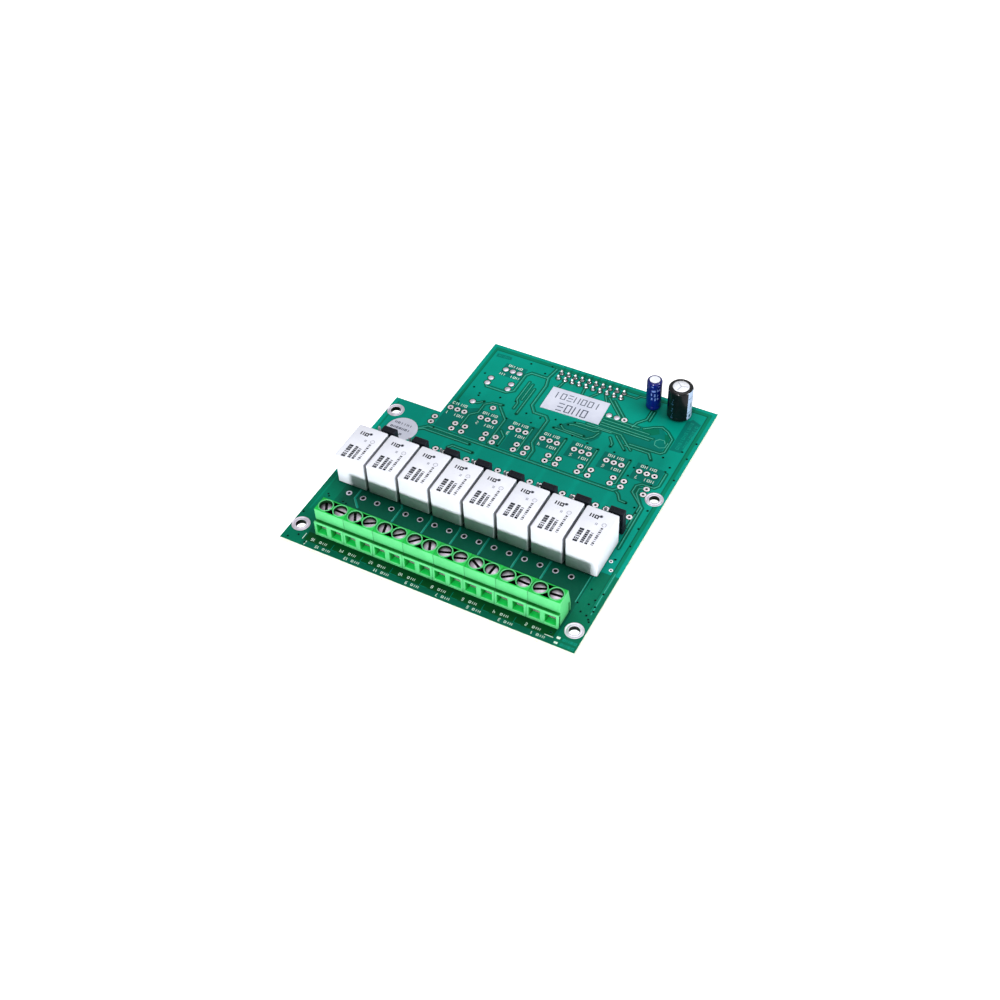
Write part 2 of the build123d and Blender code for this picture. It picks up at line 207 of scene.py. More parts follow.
# what several finishes share
lacquer = {"mottling": (120, 0.7), "graining": (3000, 0.42, 0.1, 0.04), "specular": 0.06}
overTrace = {"graining": (3000, 0.35, 0.1, 0.04), "specular": 0.1, "reach": 7, "depth": 0.85}
moulded = {"mottling": (250, 0.6), "graining": (3500, 0.5, 0.1, 0.08)}
sleeve = {"mottling": (400, 0.5), "graining": (2500, 0.24, 0.1, 0.05)}
sleevePrint = {"mottling": (900, 0.6), "graining": (2500, 0.3, 0.1, 0.05)}
printed = {"mottling": (1500, 0.7), "graining": (5000, 0.5, 0.1, 0.05)}
finish = {
    "mask": makeFinish("maskOverCopper", (0, 147, 128), (0, 138, 119), **lacquer, reach=7, depth=0.75),
    "maskMid": makeFinish("maskAtEdge", (0, 122, 94), (0, 113, 85), **lacquer, reach=7, depth=0.8),
    # also the painted reflection of the large capacitor inside the long loop
    "maskCorner": makeFinish("maskAtCorner", (0, 107, 81), (0, 98, 72), **lacquer, reach=7, depth=0.85),
    "maskBare": makeFinish("maskOverLaminate", (0, 116, 103), (0, 106, 93), **lacquer, reach=9, depth=0.95),
    # dark ground of the copper's clearances, also used as painted shade on the ground round the terminals
    "maskGap": makeFinish("maskInGapsAndPaintedShade", (0, 96, 74), (0, 87, 65), **lacquer, reach=12, depth=1.0),
    # bare ground made darker and greener by painted shade and a painted reflection of the terminals
    "maskBarePaintedShade": makeFinish("maskBarePaintedShade", (0, 70, 30), (0, 61, 24), **lacquer, reach=7, depth=0.9),
    "trace": makeFinish("maskOverTrace", (0, 138, 118), (0, 130, 112), (300, 0.6), **overTrace),
    # painted highlight along one side of each trace
    "tracePaintedHighlight": makeFinish("tracePaintedHighlight", (92, 178, 156), (70, 164, 140), (500, 0.8), **overTrace),
    "laminate": makeFinish("cutLaminate", (210, 212, 198), (186, 190, 174), (900, 0.8),
                           (2500, 0.75, 0.1, 0.4), depth=0.2),
    "tin": makeFinish("tinnedCopper", (214, 208, 220), (182, 174, 190), (700, 0.7), (3500, 0.36, 0.2, 0.1),
                      metallic=0.75, reach=2, depth=0.7),
    # a brighter copy of tinned copper, painted light, for the pins and the pads behind the first row
    "pin": makeFinish("tinPaintedLight", (238, 230, 236), (214, 206, 216), (900, 0.7), (3500, 0.3, 0.2, 0.1),
                      metallic=0.55, reach=1.5, depth=0.4),
    "solder": makeFinish("solder", (206, 198, 206), (160, 154, 164), (1400, 0.8), (2500, 0.25, 0.2, 0.2),
                         metallic=0.8, reach=1.5, depth=0.8),
    "bore": makeFinish("boreShade", (14, 26, 22), (24, 38, 32), (900, 0.6), (3500, 0.6, 0.2, 0.1), specular=0.1),
    # the housing's plastic, then copies of it that paint light and shade: darker and greener on top, in the groove
    # and on the windows' side walls, much darker inside the hollows, brighter on the windows' sills
    "terminal": makeFinish("terminalPlastic", (84, 191, 118), (73, 180, 107), **moulded, specular=0.4, reach=2,
                           depth=0.8),
    "terminalPaintedHalfShade": makeFinish("terminalPaintedHalfShade", (14, 184, 68), (8, 172, 60), (250, 0.6), (3500, 0.55, 0.1, 0.12),
                              specular=0.3, reach=2.5, depth=0.9),
    "terminalShade": makeFinish("terminalInsidePaintedShade", (8, 62, 26), (5, 52, 20), (250, 0.6), (3500, 0.6, 0.1, 0.08),
                                specular=0.15, depth=1.0),
    "terminalSillPaintedLight": makeFinish("terminalSillPaintedLight", (24, 232, 96), (16, 220, 86), **moulded, specular=0.3, reach=1.5,
                               depth=0.5),
    "screw": makeFinish("nickelledSteel", (212, 204, 216), (158, 150, 164), (800, 0.8), (3000, 0.34, 0.2, 0.1),
                        metallic=0.7, reach=1.6, depth=1.0),
    "slot": makeFinish("slotShade", (12, 12, 16), (22, 22, 27), (800, 0.7), (3000, 0.7, 0.2, 0.1), specular=0.1),
    "clamp": makeFinish("nickelledClamp", (232, 228, 226), (190, 184, 180), (800, 0.7), (3000, 0.32, 0.2, 0.1),
                        metallic=0.5, reach=2.5, depth=0.9),
    "relay": makeFinish("relayPlastic", (226, 228, 238), (216, 218, 229), (220, 0.6), (3500, 0.42, 0.1, 0.06),
                        specular=0.4, reach=4),
    "relayBase": makeFinish("relayBasePlastic", (60, 62, 66), (48, 50, 54), (300, 0.5), (3500, 0.5, 0.1, 0.1)),
    "black": makeFinish("headerPlastic", (14, 18, 28), (24, 29, 42), (500, 0.6), (3500, 0.5, 0.15, 0.12),
                        specular=0.2),
    "sleeveBlue": makeFinish("sleeveBlue", (4, 10, 96), (2, 6, 70), **sleeve, coat=0.15, specular=0.35),
    "sleeveBlack": makeFinish("sleeveBlack", (3, 5, 8), (8, 11, 14), **sleeve, coat=0.1, specular=0.25),
    "stripe": makeFinish("sleeveStripe", (142, 163, 190), (126, 148, 177), (400, 0.5), (2500, 0.3, 0.1, 0.05),
                         coat=0.2),
    "sleeveInk": makeFinish("sleeveInk", (104, 126, 186), (84, 106, 168), **sleevePrint),
    "dimInk": makeFinish("dimInk", (34, 62, 84), (24, 48, 68), **sleevePrint),
    "can": makeFinish("canAluminium", (240, 243, 250), (224, 228, 238), (600, 0.6), (2500, 0.4, 0.15, 0.1),
                      metallic=0.35),
    "paper": makeFinish("labelPaper", (212, 215, 230), (197, 201, 219), (260, 0.7), (2600, 0.62, 0.1, 0.15),
                        specular=0.3),
    "ink": makeFinish("blackInk", (20, 22, 30), (38, 40, 50), **printed, specular=0.2),
    "labelInk": makeFinish("labelInk", (66, 74, 90), (86, 94, 110), **printed, specular=0.2),
    "faintInk": makeFinish("greyInk", (118, 121, 138), (142, 145, 162), **printed),
    "whiteInk": makeFinish("whiteInk", (222, 238, 228), (180, 208, 193), (1500, 0.8), (5000, 0.5, 0.1, 0.05),
                           depth=0.4),
}
print("finishes made:", len(finish))


def addPrism(bm, outline, low, high, index=0):
    # closed solid over a flat outline, given anticlockwise in board millimetres
    bottom = [bm.verts.new(spot(x, y, low)) for x, y in outline]
    top = [bm.verts.new(spot(x, y, high)) for x, y in outline]
    bm.faces.new(top).material_index = index
    bm.faces.new(list(reversed(bottom))).material_index = index
    skinRings(bm, [bottom, top], index)


def skinRings(bm, rings, index=0, smooth=False):
    # the walls between rings of corners, each with its neighbour
    count = len(rings[0])
    for lower, upper in zip(rings, rings[1:]):
        for i in range(count):
            j = (i + 1) % count
            face = bm.faces.new((lower[i], lower[j], upper[j], upper[i]))
            face.material_index = index
            face.smooth = smooth


def addLoops(bm, loops, capStart=True, capEnd=True, index=0, smooth=True):
    # skins a stack of equal rings of points, given as vectors in the frame
    rings = [[bm.verts.new(point) for point in loop] for loop in loops]
    skinRings(bm, rings, index, smooth)
    if capStart:
        bm.faces.new(list(reversed(rings[0]))).material_index = index
    if capEnd:
        bm.faces.new(rings[-1]).material_index = index


def circlePoints(x, y, radius, segments):
    turns = [2 * math.pi * i / segments for i in range(segments)]
    return [(x + radius * math.cos(turn), y + radius * math.sin(turn)) for turn in turns]


def boxPoints(x, y, width, depth):
    return [(x + sx * width / 2, y + sy * depth / 2) for sx, sy in ((-1, -1), (1, -1), (1, 1), (-1, 1))]


def addTurned(bm, x, y, profile, segments, index=0, capStart=True, capEnd=True):
    # turned form about an upright axis; the profile is (radius, height) from its foot
    loops = [[spot(px, py, z) for px, py in circlePoints(x, y, radius, segments)] for radius, z in profile]
    addLoops(bm, loops, capStart, capEnd, index)


def addHollow(bm, x, y, profile, segments, index=0, place=spot):
    # turned form with a hole through it: its profile closes on itself
    rings = []
    for radius, z in profile:
        rings.append([bm.verts.new(place(px, py, z)) for px, py in circlePoints(x, y, radius, segments)])
    skinRings(bm, rings + rings[:1], index)


def addRing(bm, x, y, inner, outer, low, high, segments, index=0):
    # flat ring with a softened outer edge
    soft = min(0.3 * (high - low), 0.1)
    profile = [(inner, low), (outer, low), (outer, high - soft), (outer - soft, high), (inner, high)]
    addHollow(bm, x, y, profile, segments, index)


def roundedRect(x, y, width, depth, radius, steps=5):
    points = []
    corners = [(1, -1, -90), (1, 1, 0), (-1, 1, 90), (-1, -1, 180)]
    for sx, sy, begin in corners:
        cx = x + sx * (width / 2 - radius)
        cy = y + sy * (depth / 2 - radius)
        for step in range(steps + 1):
            angle = math.radians(begin + 90 * step / steps)
            points.append((cx + radius * math.cos(angle), cy + radius * math.sin(angle)))
    return points


def addSoftBox(bm, x, y, width, depth, low, high, corner, edge, foot, steps=5):
    # box with rounded upright edges, a rounded top and a small round at its foot
    levels = []
    if foot > 0:
        for step in range(3):
            angle = math.radians(90 * step / 2)
            levels.append((foot * (1 - math.sin(angle)), low + foot * (1 - math.cos(angle))))
    else:
        levels.append((0.0, low))
    for step in range(5):
        angle = math.radians(90 * step / 4)
        levels.append((edge * (1 - math.cos(angle)), high - edge + edge * math.sin(angle)))
    loops = []
    for inset, z in levels:
        ring = roundedRect(x, y, width - 2 * inset, depth - 2 * inset, max(corner - inset, 0.02), steps)
        loops.append([spot(px, py, z) for px, py in ring])
    addLoops(bm, loops)


def ribbonOutline(points, width):
    # outline of a stroke with mitred corners and round ends
    half = width / 2
    count = len(points)
    left, right = [], []
    for i, (x, y) in enumerate(points):
        before = Vector((x - points[i - 1][0], y - points[i - 1][1])).normalized() if i else None
        after = Vector((points[i + 1][0] - x, points[i + 1][1] - y)).normalized() if i < count - 1 else None
        along = (before + after).normalized() if before and after else (before or after)
        side = Vector((-along.y, along.x))
        reach = half
        if before and after:
            reach = half / max(side.dot(Vector((-before.y, before.x))), 0.4)
        left.append((x + side.x * reach, y + side.y * reach))
        right.append((x - side.x * reach, y - side.y * reach))

    def cap(centre, direction):
        start = math.atan2(direction.y, direction.x) - math.pi / 2
        turns = [start + math.pi * k / 6 for k in range(1, 6)]
        return [(centre[0] + half * math.cos(turn), centre[1] + half * math.sin(turn)) for turn in turns]

    endWay = Vector((points[-1][0] - points[-2][0], points[-1][1] - points[-2][1])).normalized()
    startWay = Vector((points[0][0] - points[1][0], points[0][1] - points[1][1])).normalized()
    return right + cap(points[-1], endWay) + list(reversed(left)) + cap(points[0], startWay)


def addShape(bm, corner, across, up, kind, width, height, weight, low, high):
    # one plain mark: a bar, a frame, a pair of bars, three steps or a block
    far, top = width - weight, height - weight
    boxes = {
        "bar": [(far / 2, 0, far / 2 + weight, height)],
        "pair": [(0, 0, weight, height), (far, 0, width, height)],
        "frame": [(0, 0, weight, height), (far, 0, width, height), (weight, 0, far, weight),
                  (weight, top, far, height)],
        "steps": [(0, 0, width, weight), (0, top / 2, width, top / 2 + weight), (0, top, width, height)],
        "block": [(0, 0, width, height)],
    }
    for x0, y0, x1, y1 in boxes[kind]:
        points = [corner + across * px + up * py for px, py in ((x0, y0), (x1, y0), (x1, y1), (x0, y1))]
        addPrism(bm, [(p.x, p.y) for p in points], low, high)


def addRow(bm, x, y, kinds, width, gap, height, weight, low, high, across=Vector((1, 0)), up=Vector((0, 1))):
    # plain marks side by side, as a line of print that says nothing
    for i, kind in enumerate(kinds):
        corner = Vector((x, y)) + across * (i * (width + gap))
        addShape(bm, corner, across, up, kind, width, height, weight, low, high)


def makePiece(name, bm, finishes, replaced=(), sharp=35):
    bmesh.ops.recalc_face_normals(bm, faces=bm.faces[:])
    finishPiece(name, newMesh(name, bm), finishes, rootBody, replaced, sharp)


def newMesh(name, bm):
    mesh = bpy.data.meshes.new(name)
    bm.to_mesh(mesh)
    bm.free()
    return mesh


def newObject(name, data):
    thing = bpy.data.objects.new(name, data)
    bpy.context.scene.collection.objects.link(thing)
    return thing


def finishPiece(name, mesh, finishes, body, replaced, sharp=35):
    for key in finishes:
        mesh.materials.append(finish[key])
    if sharp:
        mesh.shade_smooth()
        mesh.set_sharp_from_angle(angle=math.radians(sharp))
    piece = newObject(name, mesh)
    if replaced:
        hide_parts(*replaced)
    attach(piece, body)


def looseObject(name, bm):
    bmesh.ops.recalc_face_normals(bm, faces=bm.faces[:])
    return newObject(name, newMesh(name, bm))


def shapedMesh(thing):
    # the mesh that an object's modifiers give
    bpy.context.view_layer.update()
    return bpy.data.meshes.new_from_object(thing.evaluated_get(bpy.context.evaluated_depsgraph_get()))


def takenMesh(thing):
    # an object's mesh without its materials; the object goes
    mesh = thing.data
    mesh.materials.clear()
    bpy.data.objects.remove(thing)
    return mesh


def applied(thing):
    mesh = shapedMesh(thing)
    thing.modifiers.clear()
    thing.data = mesh
    return thing


def softened(thing, width, angle=20, arcs=False):
    bevel = thing.modifiers.new("softEdges", "BEVEL")
    bevel.width = width * mm
    bevel.segments = 2
    bevel.limit_method = "ANGLE"
    bevel.angle_limit = math.radians(angle)
    if arcs:
        bevel.use_clamp_overlap = False
        bevel.miter_outer = "MITER_ARC"
    return applied(thing)


padRow = {"y": 24.46, "first": 9.28, "pitch": 5.08, "count": 16, "padR": 0.98, "holeR": 0.63, "firstHoleR": 0.5}
spareRelays = {"count": 7, "first": 19.8, "pitch": 11.22, "reach": 3.81, "rows": [53.2, 63.5, 66.1],
               "tripleFrom": -1.31, "tripleStep": 2.57, "tripleY": 72.13, "padR": 0.98, "holeR": 0.42}
filledPlace = {"columns": [23.62, 31.26], "rows": [77.82, 88.05, 90.63], "open": (31.26, 77.82),
               "triple": [26.17, 28.78, 31.35], "tripleY": 96.5}  # solder fills all of its holes but one
loosePads = [(66.79, 91.1, 0.98, 0.0), (69.55, 91.1, 0.98, 0.0), (72.17, 91.17, 0.98, 0.42),
             (93.34, 34.83, 0.6, 0.3), (94.78, 31.71, 0.6, 0.3)]
viaR = {"hole": 0.29, "ring": 0.42}
viaSpots = [
    (90.08, 80.93), (93.69, 77.7), (83.7, 72.93), (83.44, 68.89), (94.51, 85.75), (97.0, 83.46), (97.0, 73.16),
    (87.69, 57.95), (90.72, 57.45), (91.91, 55.47), (94.86, 57.92), (3.6, 21.4), (4.3, 20.7), (18.2, 61.4),
    (32.4, 59.6), (35.1, 56.6), (93.2, 75.4), (39.4, 78.6), (33.6, 80.4), (27.1, 79.3), (40.7, 62.9),
    (58.4, 83.2), (56.8, 81.4), (54.6, 80.4), (53.2, 78.2), (63.6, 78.8), (73.2, 78.2), (77.9, 78.6),
    (87.1, 78.2), (37.5, 75.4), (47.4, 75.0), (59.1, 75.2), (70.2, 75.2), (81.4, 75.2), (96.6, 12.4),
    (96.6, 22.6), (19.4, 75.8), (24.0, 81.2), (45.6, 77.0), (49.8, 86.0), (60.2, 77.4), (66.0, 76.4),
    (75.4, 76.4), (87.0, 75.4), (91.6, 68.0), (97.2, 91.0), (95.4, 50.0), (96.0, 42.6), (94.2, 36.0),
    (0.8, 11.8), (2.1, 1.3), (4.7, 3.2), (8.0, 1.4), (9.5, 20.5), (10.7, 20.3), (89.2, 3.8), (97.1, 11.7),
    (95.4, 19.6), (94.4, 17.5), (96.4, 17.3), (95.5, 13.5), (93.4, 14.1), (96.7, 15.6), (92.8, 22.8),
    (91.2, 16.7), (32.6, 102.7), (39.7, 104.4), (39.0, 100.3), (20.7, 91.8), (20.7, 84.2), (23.8, 82.3),
    (31.0, 83.3), (47.3, 80.3), (52.1, 81.8), (42.2, 80.3), (36.4, 83.9),
]
openPads = []  # x, y, the pad's radius and its hole's
for k in range(padRow["count"]):
    holeR = padRow["holeR"] if k else padRow["firstHoleR"]
    openPads.append((padRow["first"] + k * padRow["pitch"], padRow["y"], padRow["padR"], holeR))
padR, holeR = spareRelays["padR"], spareRelays["holeR"]
for k in range(spareRelays["count"]):
    middle = spareRelays["first"] + k * spareRelays["pitch"]
    for row in spareRelays["rows"]:
        openPads += [(middle + side * spareRelays["reach"], row, padR, holeR) for side in (-1, 1)]
    for step in range(3):
        x = middle + spareRelays["tripleFrom"] + step * spareRelays["tripleStep"]
        openPads.append((x, spareRelays["tripleY"], padR, holeR))
for x in filledPlace["columns"]:
    for y in filledPlace["rows"]:
        openPads.append((x, y, padR, holeR if (x, y) == filledPlace["open"] else 0.0))
openPads += [(x, filledPlace["tripleY"], padR, 0.0) for x in filledPlace["triple"]]
openPads += loosePads

# A lead's half is its half width and half depth.
relays = {"count": 8, "first": 8.70, "pitch": 11.207, "front": 27.4, "width": 10.3, "length": 15.2, "top": 11.6,
          "foot": 0.3, "corner": 0.5, "edge": 0.25, "footEdge": 0.12, "pinX": 3.81, "pinY": [-6.35, 3.81, 6.35],
          "pinHalf": (0.45, 0.25)}
jumpers = {"right": 1.15, "y": 47.0, "pitch": 2.54, "depth": 2.4, "notch": 0.35, "baseTop": 2.5, "pinTop": 8.2,
           "pinHalf": (0.32, 0.32), "shuntWidth": 4.9, "shuntDepth": 2.4, "shuntTop": 8.5, "shuntEdge": 0.25,
           "ribs": [-0.66, -0.22, 0.22, 0.66], "ribWidth": 4.3, "ribDepth": 0.22, "ribRise": 0.1}
terminal = {"poles": 16, "blocks": 8, "first": 11.82, "pitch": 5.08, "line": 9.74, "legY": 2.255,
            "legHalf": (0.5, 0.375)}
header = {"left": 44.1, "front": 100.1, "pitch": 2.54, "columns": 10, "rows": 2, "pinHalf": (0.32, 0.32)}
canPlaces = {"small": (77.9, 101.3, 1.0), "large": (86.9, 101.3, 1.75)}  # the middle, and its leads' distance
canLeadR = 0.25
leadEnd = {"tail": 1.8, "share": 0.45, "low": 0.3, "high": 0.35, "socketLow": 0.2, "socketHigh": 0.3}

relayMiddles = [(relays["first"] + k * relays["pitch"], relays["front"] + relays["length"] / 2)
                for k in range(relays["count"])]
poleSpots = [(terminal["first"] + k * terminal["pitch"], terminal["line"]) for k in range(terminal["poles"])]
relayPinSpots = [(x + side * relays["pinX"], y + dy) for x, y in relayMiddles
                 for side in (-1, 1) for dy in relays["pinY"]]
jumperPinSpots = [(x + jumpers["right"] + step * jumpers["pitch"], jumpers["y"])
                  for x, y in relayMiddles for step in (-1, 0, 1)]
headerSpots = [(header["left"] + i * header["pitch"], header["front"] + j * header["pitch"])
               for i in range(header["columns"]) for j in range(header["rows"])]
# x, y and half sizes of each lead that is soldered underneath
leadSpots = [(x, y + terminal["legY"], *terminal["legHalf"]) for x, y in poleSpots]
leadSpots += [(x, y, *relays["pinHalf"]) for x, y in relayPinSpots]
leadSpots += [(x, y, *jumpers["pinHalf"]) for x, y in jumperPinSpots]
leadSpots += [(x, y + side * off, canLeadR, canLeadR) for x, y, off in canPlaces.values() for side in (-1, 1)]


def sheetMesh(rings, low, high):
    # flat sheet between two heights: the first ring is its outline and the others are holes in it
    curve = bpy.data.curves.new("sheet", "CURVE")
    curve.dimensions = "2D"
    curve.fill_mode = "BOTH"
    curve.extrude = (high - low) / 2 * mm
    for ring in rings:
        line = curve.splines.new("POLY")
        line.points.add(len(ring) - 1)
        for point, (x, y) in zip(line.points, ring):
            place = spot(x, y)
            point.co = (place.x, place.y, 0, 1)
        line.use_cyclic_u = True
    holder = newObject("sheet", curve)
    mesh = shapedMesh(holder)
    bpy.data.objects.remove(holder)
    mesh.transform(Matrix.Translation(Vector((0, 0, (low + high) / 2 + board["thick"])) * mm))
    mesh.materials.clear()
    return mesh


def boardHoles():
    # every hole in the board: its middle, its radius and how many sides its circle has
    holes = [(x, y, board["holeR"], 40) for x, y in board["mounts"]]
    holes += [(x, y, holeR, 16) for x, y, padR, holeR in openPads if holeR > 0]
    return holes + [(x, y, viaR["hole"], 10) for x, y in viaSpots]


def addSheet(bm, outline, low, high):
    # a thin sheet over an outline, open wherever the board has a hole
    xs, ys = [x for x, y in outline], [y for x, y in outline]
    loops = [outline]
    for x, y, radius, sides in boardHoles():
        if min(xs) - radius < x < max(xs) + radius and min(ys) - radius < y < max(ys) + radius:
            loops.append(circlePoints(x, y, radius, sides))
    points, rings = [], []
    for loop in loops:
        rings.append(list(range(len(points), len(points) + len(loop))))
        points += [Vector(place) for place in loop]
    flat, _, triangles, _, _, owners = delaunay_2d_cdt(points, [], rings, 1, 1e-5, True)
    kept = [triangle for triangle, owner in zip(triangles, owners) if list(owner) == [0]]
    used = {i for triangle in kept for i in triangle}
    above = {i: bm.verts.new(spot(flat[i].x, flat[i].y, high)) for i in used}
    below = {i: bm.verts.new(spot(flat[i].x, flat[i].y, low)) for i in used}
    sides = {(triangle[i], triangle[(i + 1) % 3]) for triangle in kept for i in range(3)}
    for a, b, c in kept:
        bm.faces.new((above[a], above[b], above[c]))
        bm.faces.new((below[c], below[b], below[a]))
    for a, b in sorted(sides):
        if (b, a) not in sides:
            bm.faces.new((below[a], below[b], above[b], above[a]))


def makeBoard():
    width, depth, thick = board["width"], board["depth"], board["thick"]
    inX, inY = board["notchWidth"], board["stripDepth"]
    outline = [(0, 0), (width, 0), (width, depth), (inX, depth), (inX, inY), (0, inY)]
    bm = bmesh.new()
    bm.from_mesh(sheetMesh([outline] + [circlePoints(*hole) for hole in boardHoles()], -thick, 0.0))
    bmesh.ops.remove_doubles(bm, verts=bm.verts[:], dist=0.001 * mm)
    near = 0.01 * mm
    edges = [spot(0, 0), spot(width, depth), spot(inX, inY)]
    for face in bm.faces:
        middle = face.calc_center_median()
        onEdge = any(abs(middle.x - edge.x) < near or abs(middle.y - edge.y) < near for edge in edges)
        face.material_index = 0 if abs(face.normal.z) > 0.5 else 1 if onEdge else 2
    makePiece("board_panel", bm, ["mask", "laminate", "bore"], ["board"])


makeBoard()

# copper that shows through the lacquer: clearances dark, traces lighter, with a thin painted highlight along one
# side of each trace
traces = [
    (0.62, [(41.8, 104), (41, 99), (42.1, 95), (42.1, 84.6), (44.3, 81.8), (48.6, 81.8), (50, 80.3), (50, 69),
            (52, 66), (52, 61.5)]),
    (0.62, [(14, 59), (16.4, 61.2), (81.8, 61.2), (83, 62.5)]),
    (0.5, [(14, 58.5), (15.4, 59.6), (32.4, 59.6)]),
    (0.5, [(26.8, 55.4), (27.9, 56.8), (35.1, 56.6)]),
    (0.6, [(23.2, 87.9), (24.3, 86.4), (31.4, 86.4), (33.6, 88.2), (33.6, 96.8), (35, 98.6), (40.7, 98.6)]),
    (0.4, [(36.4, 94.3), (36.4, 85.0), (37.4, 83.4), (37.4, 80.6)]),
    (0.4, [(37.9, 93.6), (37.9, 85.6)]),
    (0.4, [(39.4, 91.8), (39.4, 78.6)]),
    (0.4, [(33.6, 80.4), (30, 80), (27.9, 78.2), (27.9, 73.9), (25.7, 71.8), (25.7, 66)]),
    (0.4, [(27.1, 79.3), (25.4, 77.8), (23.6, 77.8)]),
    (0.4, [(33.0, 79.4), (37.4, 74.6), (37.4, 62.6)]),
    (0.4, [(38.6, 69.6), (40.7, 67.5), (40.7, 62.9)]),
    (0.4, [(47.4, 75), (47.4, 63.4)]),
    (0.4, [(59.1, 75.2), (59.1, 64.4), (57.6, 63.6)]),
    (0.4, [(70.2, 75.2), (70.2, 64.2), (69.0, 63.5)]),
    (0.4, [(81.4, 75.2), (81.4, 64.2), (80.2, 63.5)]),
    (0.4, [(65.7, 98.2), (71.8, 92)]),
    (0.35, [(63.6, 98.6), (70.6, 91.6)]),
    (0.35, [(66, 90), (78, 90)]), (0.35, [(66, 88.6), (82, 88.6)]), (0.35, [(66, 87.2), (84, 87.2)]),
    (0.35, [(66, 86.1), (83, 86.1)]), (0.35, [(62, 84.6), (74, 84.6), (79.6, 79.4)]),
    (0.35, [(58.4, 83.2), (60.4, 83.6), (64, 83.6), (66, 84.0), (71, 84.0)]),
    (0.35, [(56.8, 81.4), (58.4, 82.2), (66, 82.2), (67, 83)]),
    (0.35, [(54.6, 80.4), (56.6, 78.8), (63.6, 78.8)]),
    (0.35, [(53.2, 78.2), (64.6, 77.8), (66.6, 79.8), (67.4, 82.2)]),
    (0.35, [(71.4, 82), (73.2, 79.6), (73.2, 78.2)]),
    (0.35, [(72.9, 83.5), (77.9, 78.6)]),
    (0.4, [(78.2, 81.8), (88.6, 82.1), (89.6, 83.2), (89.6, 89.6), (87.1, 92.1), (84.6, 93.4), (82.4, 92.4),
           (79.4, 90.2)]),
    (0.4, [(77.1, 80.7), (85.4, 80.7), (87.1, 78.2)]),
    (0.4, [(78.6, 98.9), (78.6, 94.6), (76.4, 91.8), (75.7, 89.3)]),
    (0.4, [(79.6, 98.9), (79.6, 94.3)]),
    (0.4, [(83, 61.1), (84, 60.4), (85.4, 58.2), (87.5, 58.1)]),
    (0.45, [(93.9, 74.6), (93.9, 68.9), (92.9, 67.5), (88.9, 67.5), (87.5, 66.1), (87.5, 63.2), (92.9, 58.2),
            (93.2, 40.4)]),
    (0.45, [(90.7, 66), (88.9, 65.4), (88.9, 63.2), (92.1, 58.9), (92.1, 49)]),
    (0.3, [(68.1, 102.4), (71.5, 102.4), (72.4, 103.8), (75.2, 104.2)]), (0.35, [(46.6, 99.0), (46.0, 95.9)]),
    (0.35, [(54.3, 98.9), (54.6, 96.4)]), (0.35, [(59.3, 99.0), (57.6, 96.4)]),
    (0.35, [(62.0, 99.0), (63.4, 96.6)]),
    (0.35, [(88.3, 86.8), (87.6, 88.0), (85.9, 88.0), (85.0, 86.7), (85.4, 85.0), (87.2, 84.3), (88.9, 85.2),
            (89.0, 87.4)]),
]
frontTraces = [
    (0.7, [(12.0, 27.2), (12.0, 23.4), (14.8, 20.4)]), (0.7, [(26.6, 27.2), (27.3, 26.2), (27.3, 20)]),
    (0.7, [(37.2, 27.2), (37.7, 26.2), (37.7, 20)]), (0.7, [(47.2, 27), (47.6, 26), (47.6, 20)]),
    (0.7, [(57.1, 27), (57.1, 20)]), (0.7, [(68.2, 27), (68.2, 20)]), (0.7, [(77.7, 27), (77.7, 20)]),
    (0.4, [(90.6, 27), (90.6, 16.6)]), (0.4, [(96.6, 31), (96.6, 14.4)]),
]
margins = [  # bands of thinner copper along the board's edges, and the lines inside them
    (1.2, [(96.3, 16), (96.3, 104.9)]), (1.3, [(18.6, 104.9), (96.3, 104.9)]),
    (0.8, [(18.4, 104.9), (18.4, 70.2)]), (0.6, [(1.8, 67.0), (1.8, 14.0)]),
]
marginLines = [
    (0.3, [(95.7, 16), (95.7, 104.3)]), (0.3, [(18.9, 104.2), (95.6, 104.2)]),
    (0.25, [(18.9, 104.2), (18.9, 70.2)]),
]
bareAreas = [  # ground without copper under the lacquer
    [(20.0, 101.1), (25.6, 101.4), (25.3, 102.9), (19.8, 102.7)],
    [(90.5, 84.9), (94.2, 85.1), (95.2, 99.6), (92.1, 100.9), (90.5, 99.3)],
    [(25.0, 93.3), (33.0, 93.3), (33.0, 99.5), (25.0, 99.5)],
    [(17.6, 62.4), (40.4, 62.4), (40.4, 75.6), (26.6, 75.6), (24.4, 74.4), (17.6, 74.4)],
    [(41.6, 62.4), (49.2, 62.4), (49.2, 75.6), (41.6, 75.6)],
    [(50.8, 68.2), (58.5, 68.2), (58.5, 75.6), (50.8, 75.6)],
    [(61.4, 68.2), (69.7, 68.2), (69.7, 75.6), (61.4, 75.6)],
    [(72.6, 68.2), (80.9, 68.2), (80.9, 75.6), (72.6, 75.6)],
    [(84.0, 68.2), (93.0, 68.2), (93.0, 75.6), (84.0, 75.6)],
    [(55.0, 77.4), (66.6, 77.4), (68.2, 80.0), (68.2, 83.6), (57.6, 83.6), (53.6, 79.6)],
    [(66.2, 83.0), (71.0, 83.6), (79.0, 81.4), (88.6, 82.6), (89.0, 89.0), (85.0, 92.6), (79.0, 91.0),
     (66.2, 90.6)],
]
cornerAreas = [  # the two front corners, and two patches inside the long loop
    [(0.04, 0.04), (6.9, 0.04), (6.6, 29.0), (6.6, 30.5), (0.04, 30.5)],
    [(91.35, 0.04), (98.16, 0.04), (98.16, 30.0), (92.6, 30.0), (91.35, 26.4)],
    # these two patches are a painted reflection of the large black capacitor in the lacquer
    [(78.9, 89.1), (82.9, 88.4), (85.0, 90.1), (84.0, 92.0), (81.0, 91.3)],
    [(86.5, 90.6), (88.3, 86.8), (88.9, 86.4), (88.6, 90.0), (87.8, 91.0)],
]
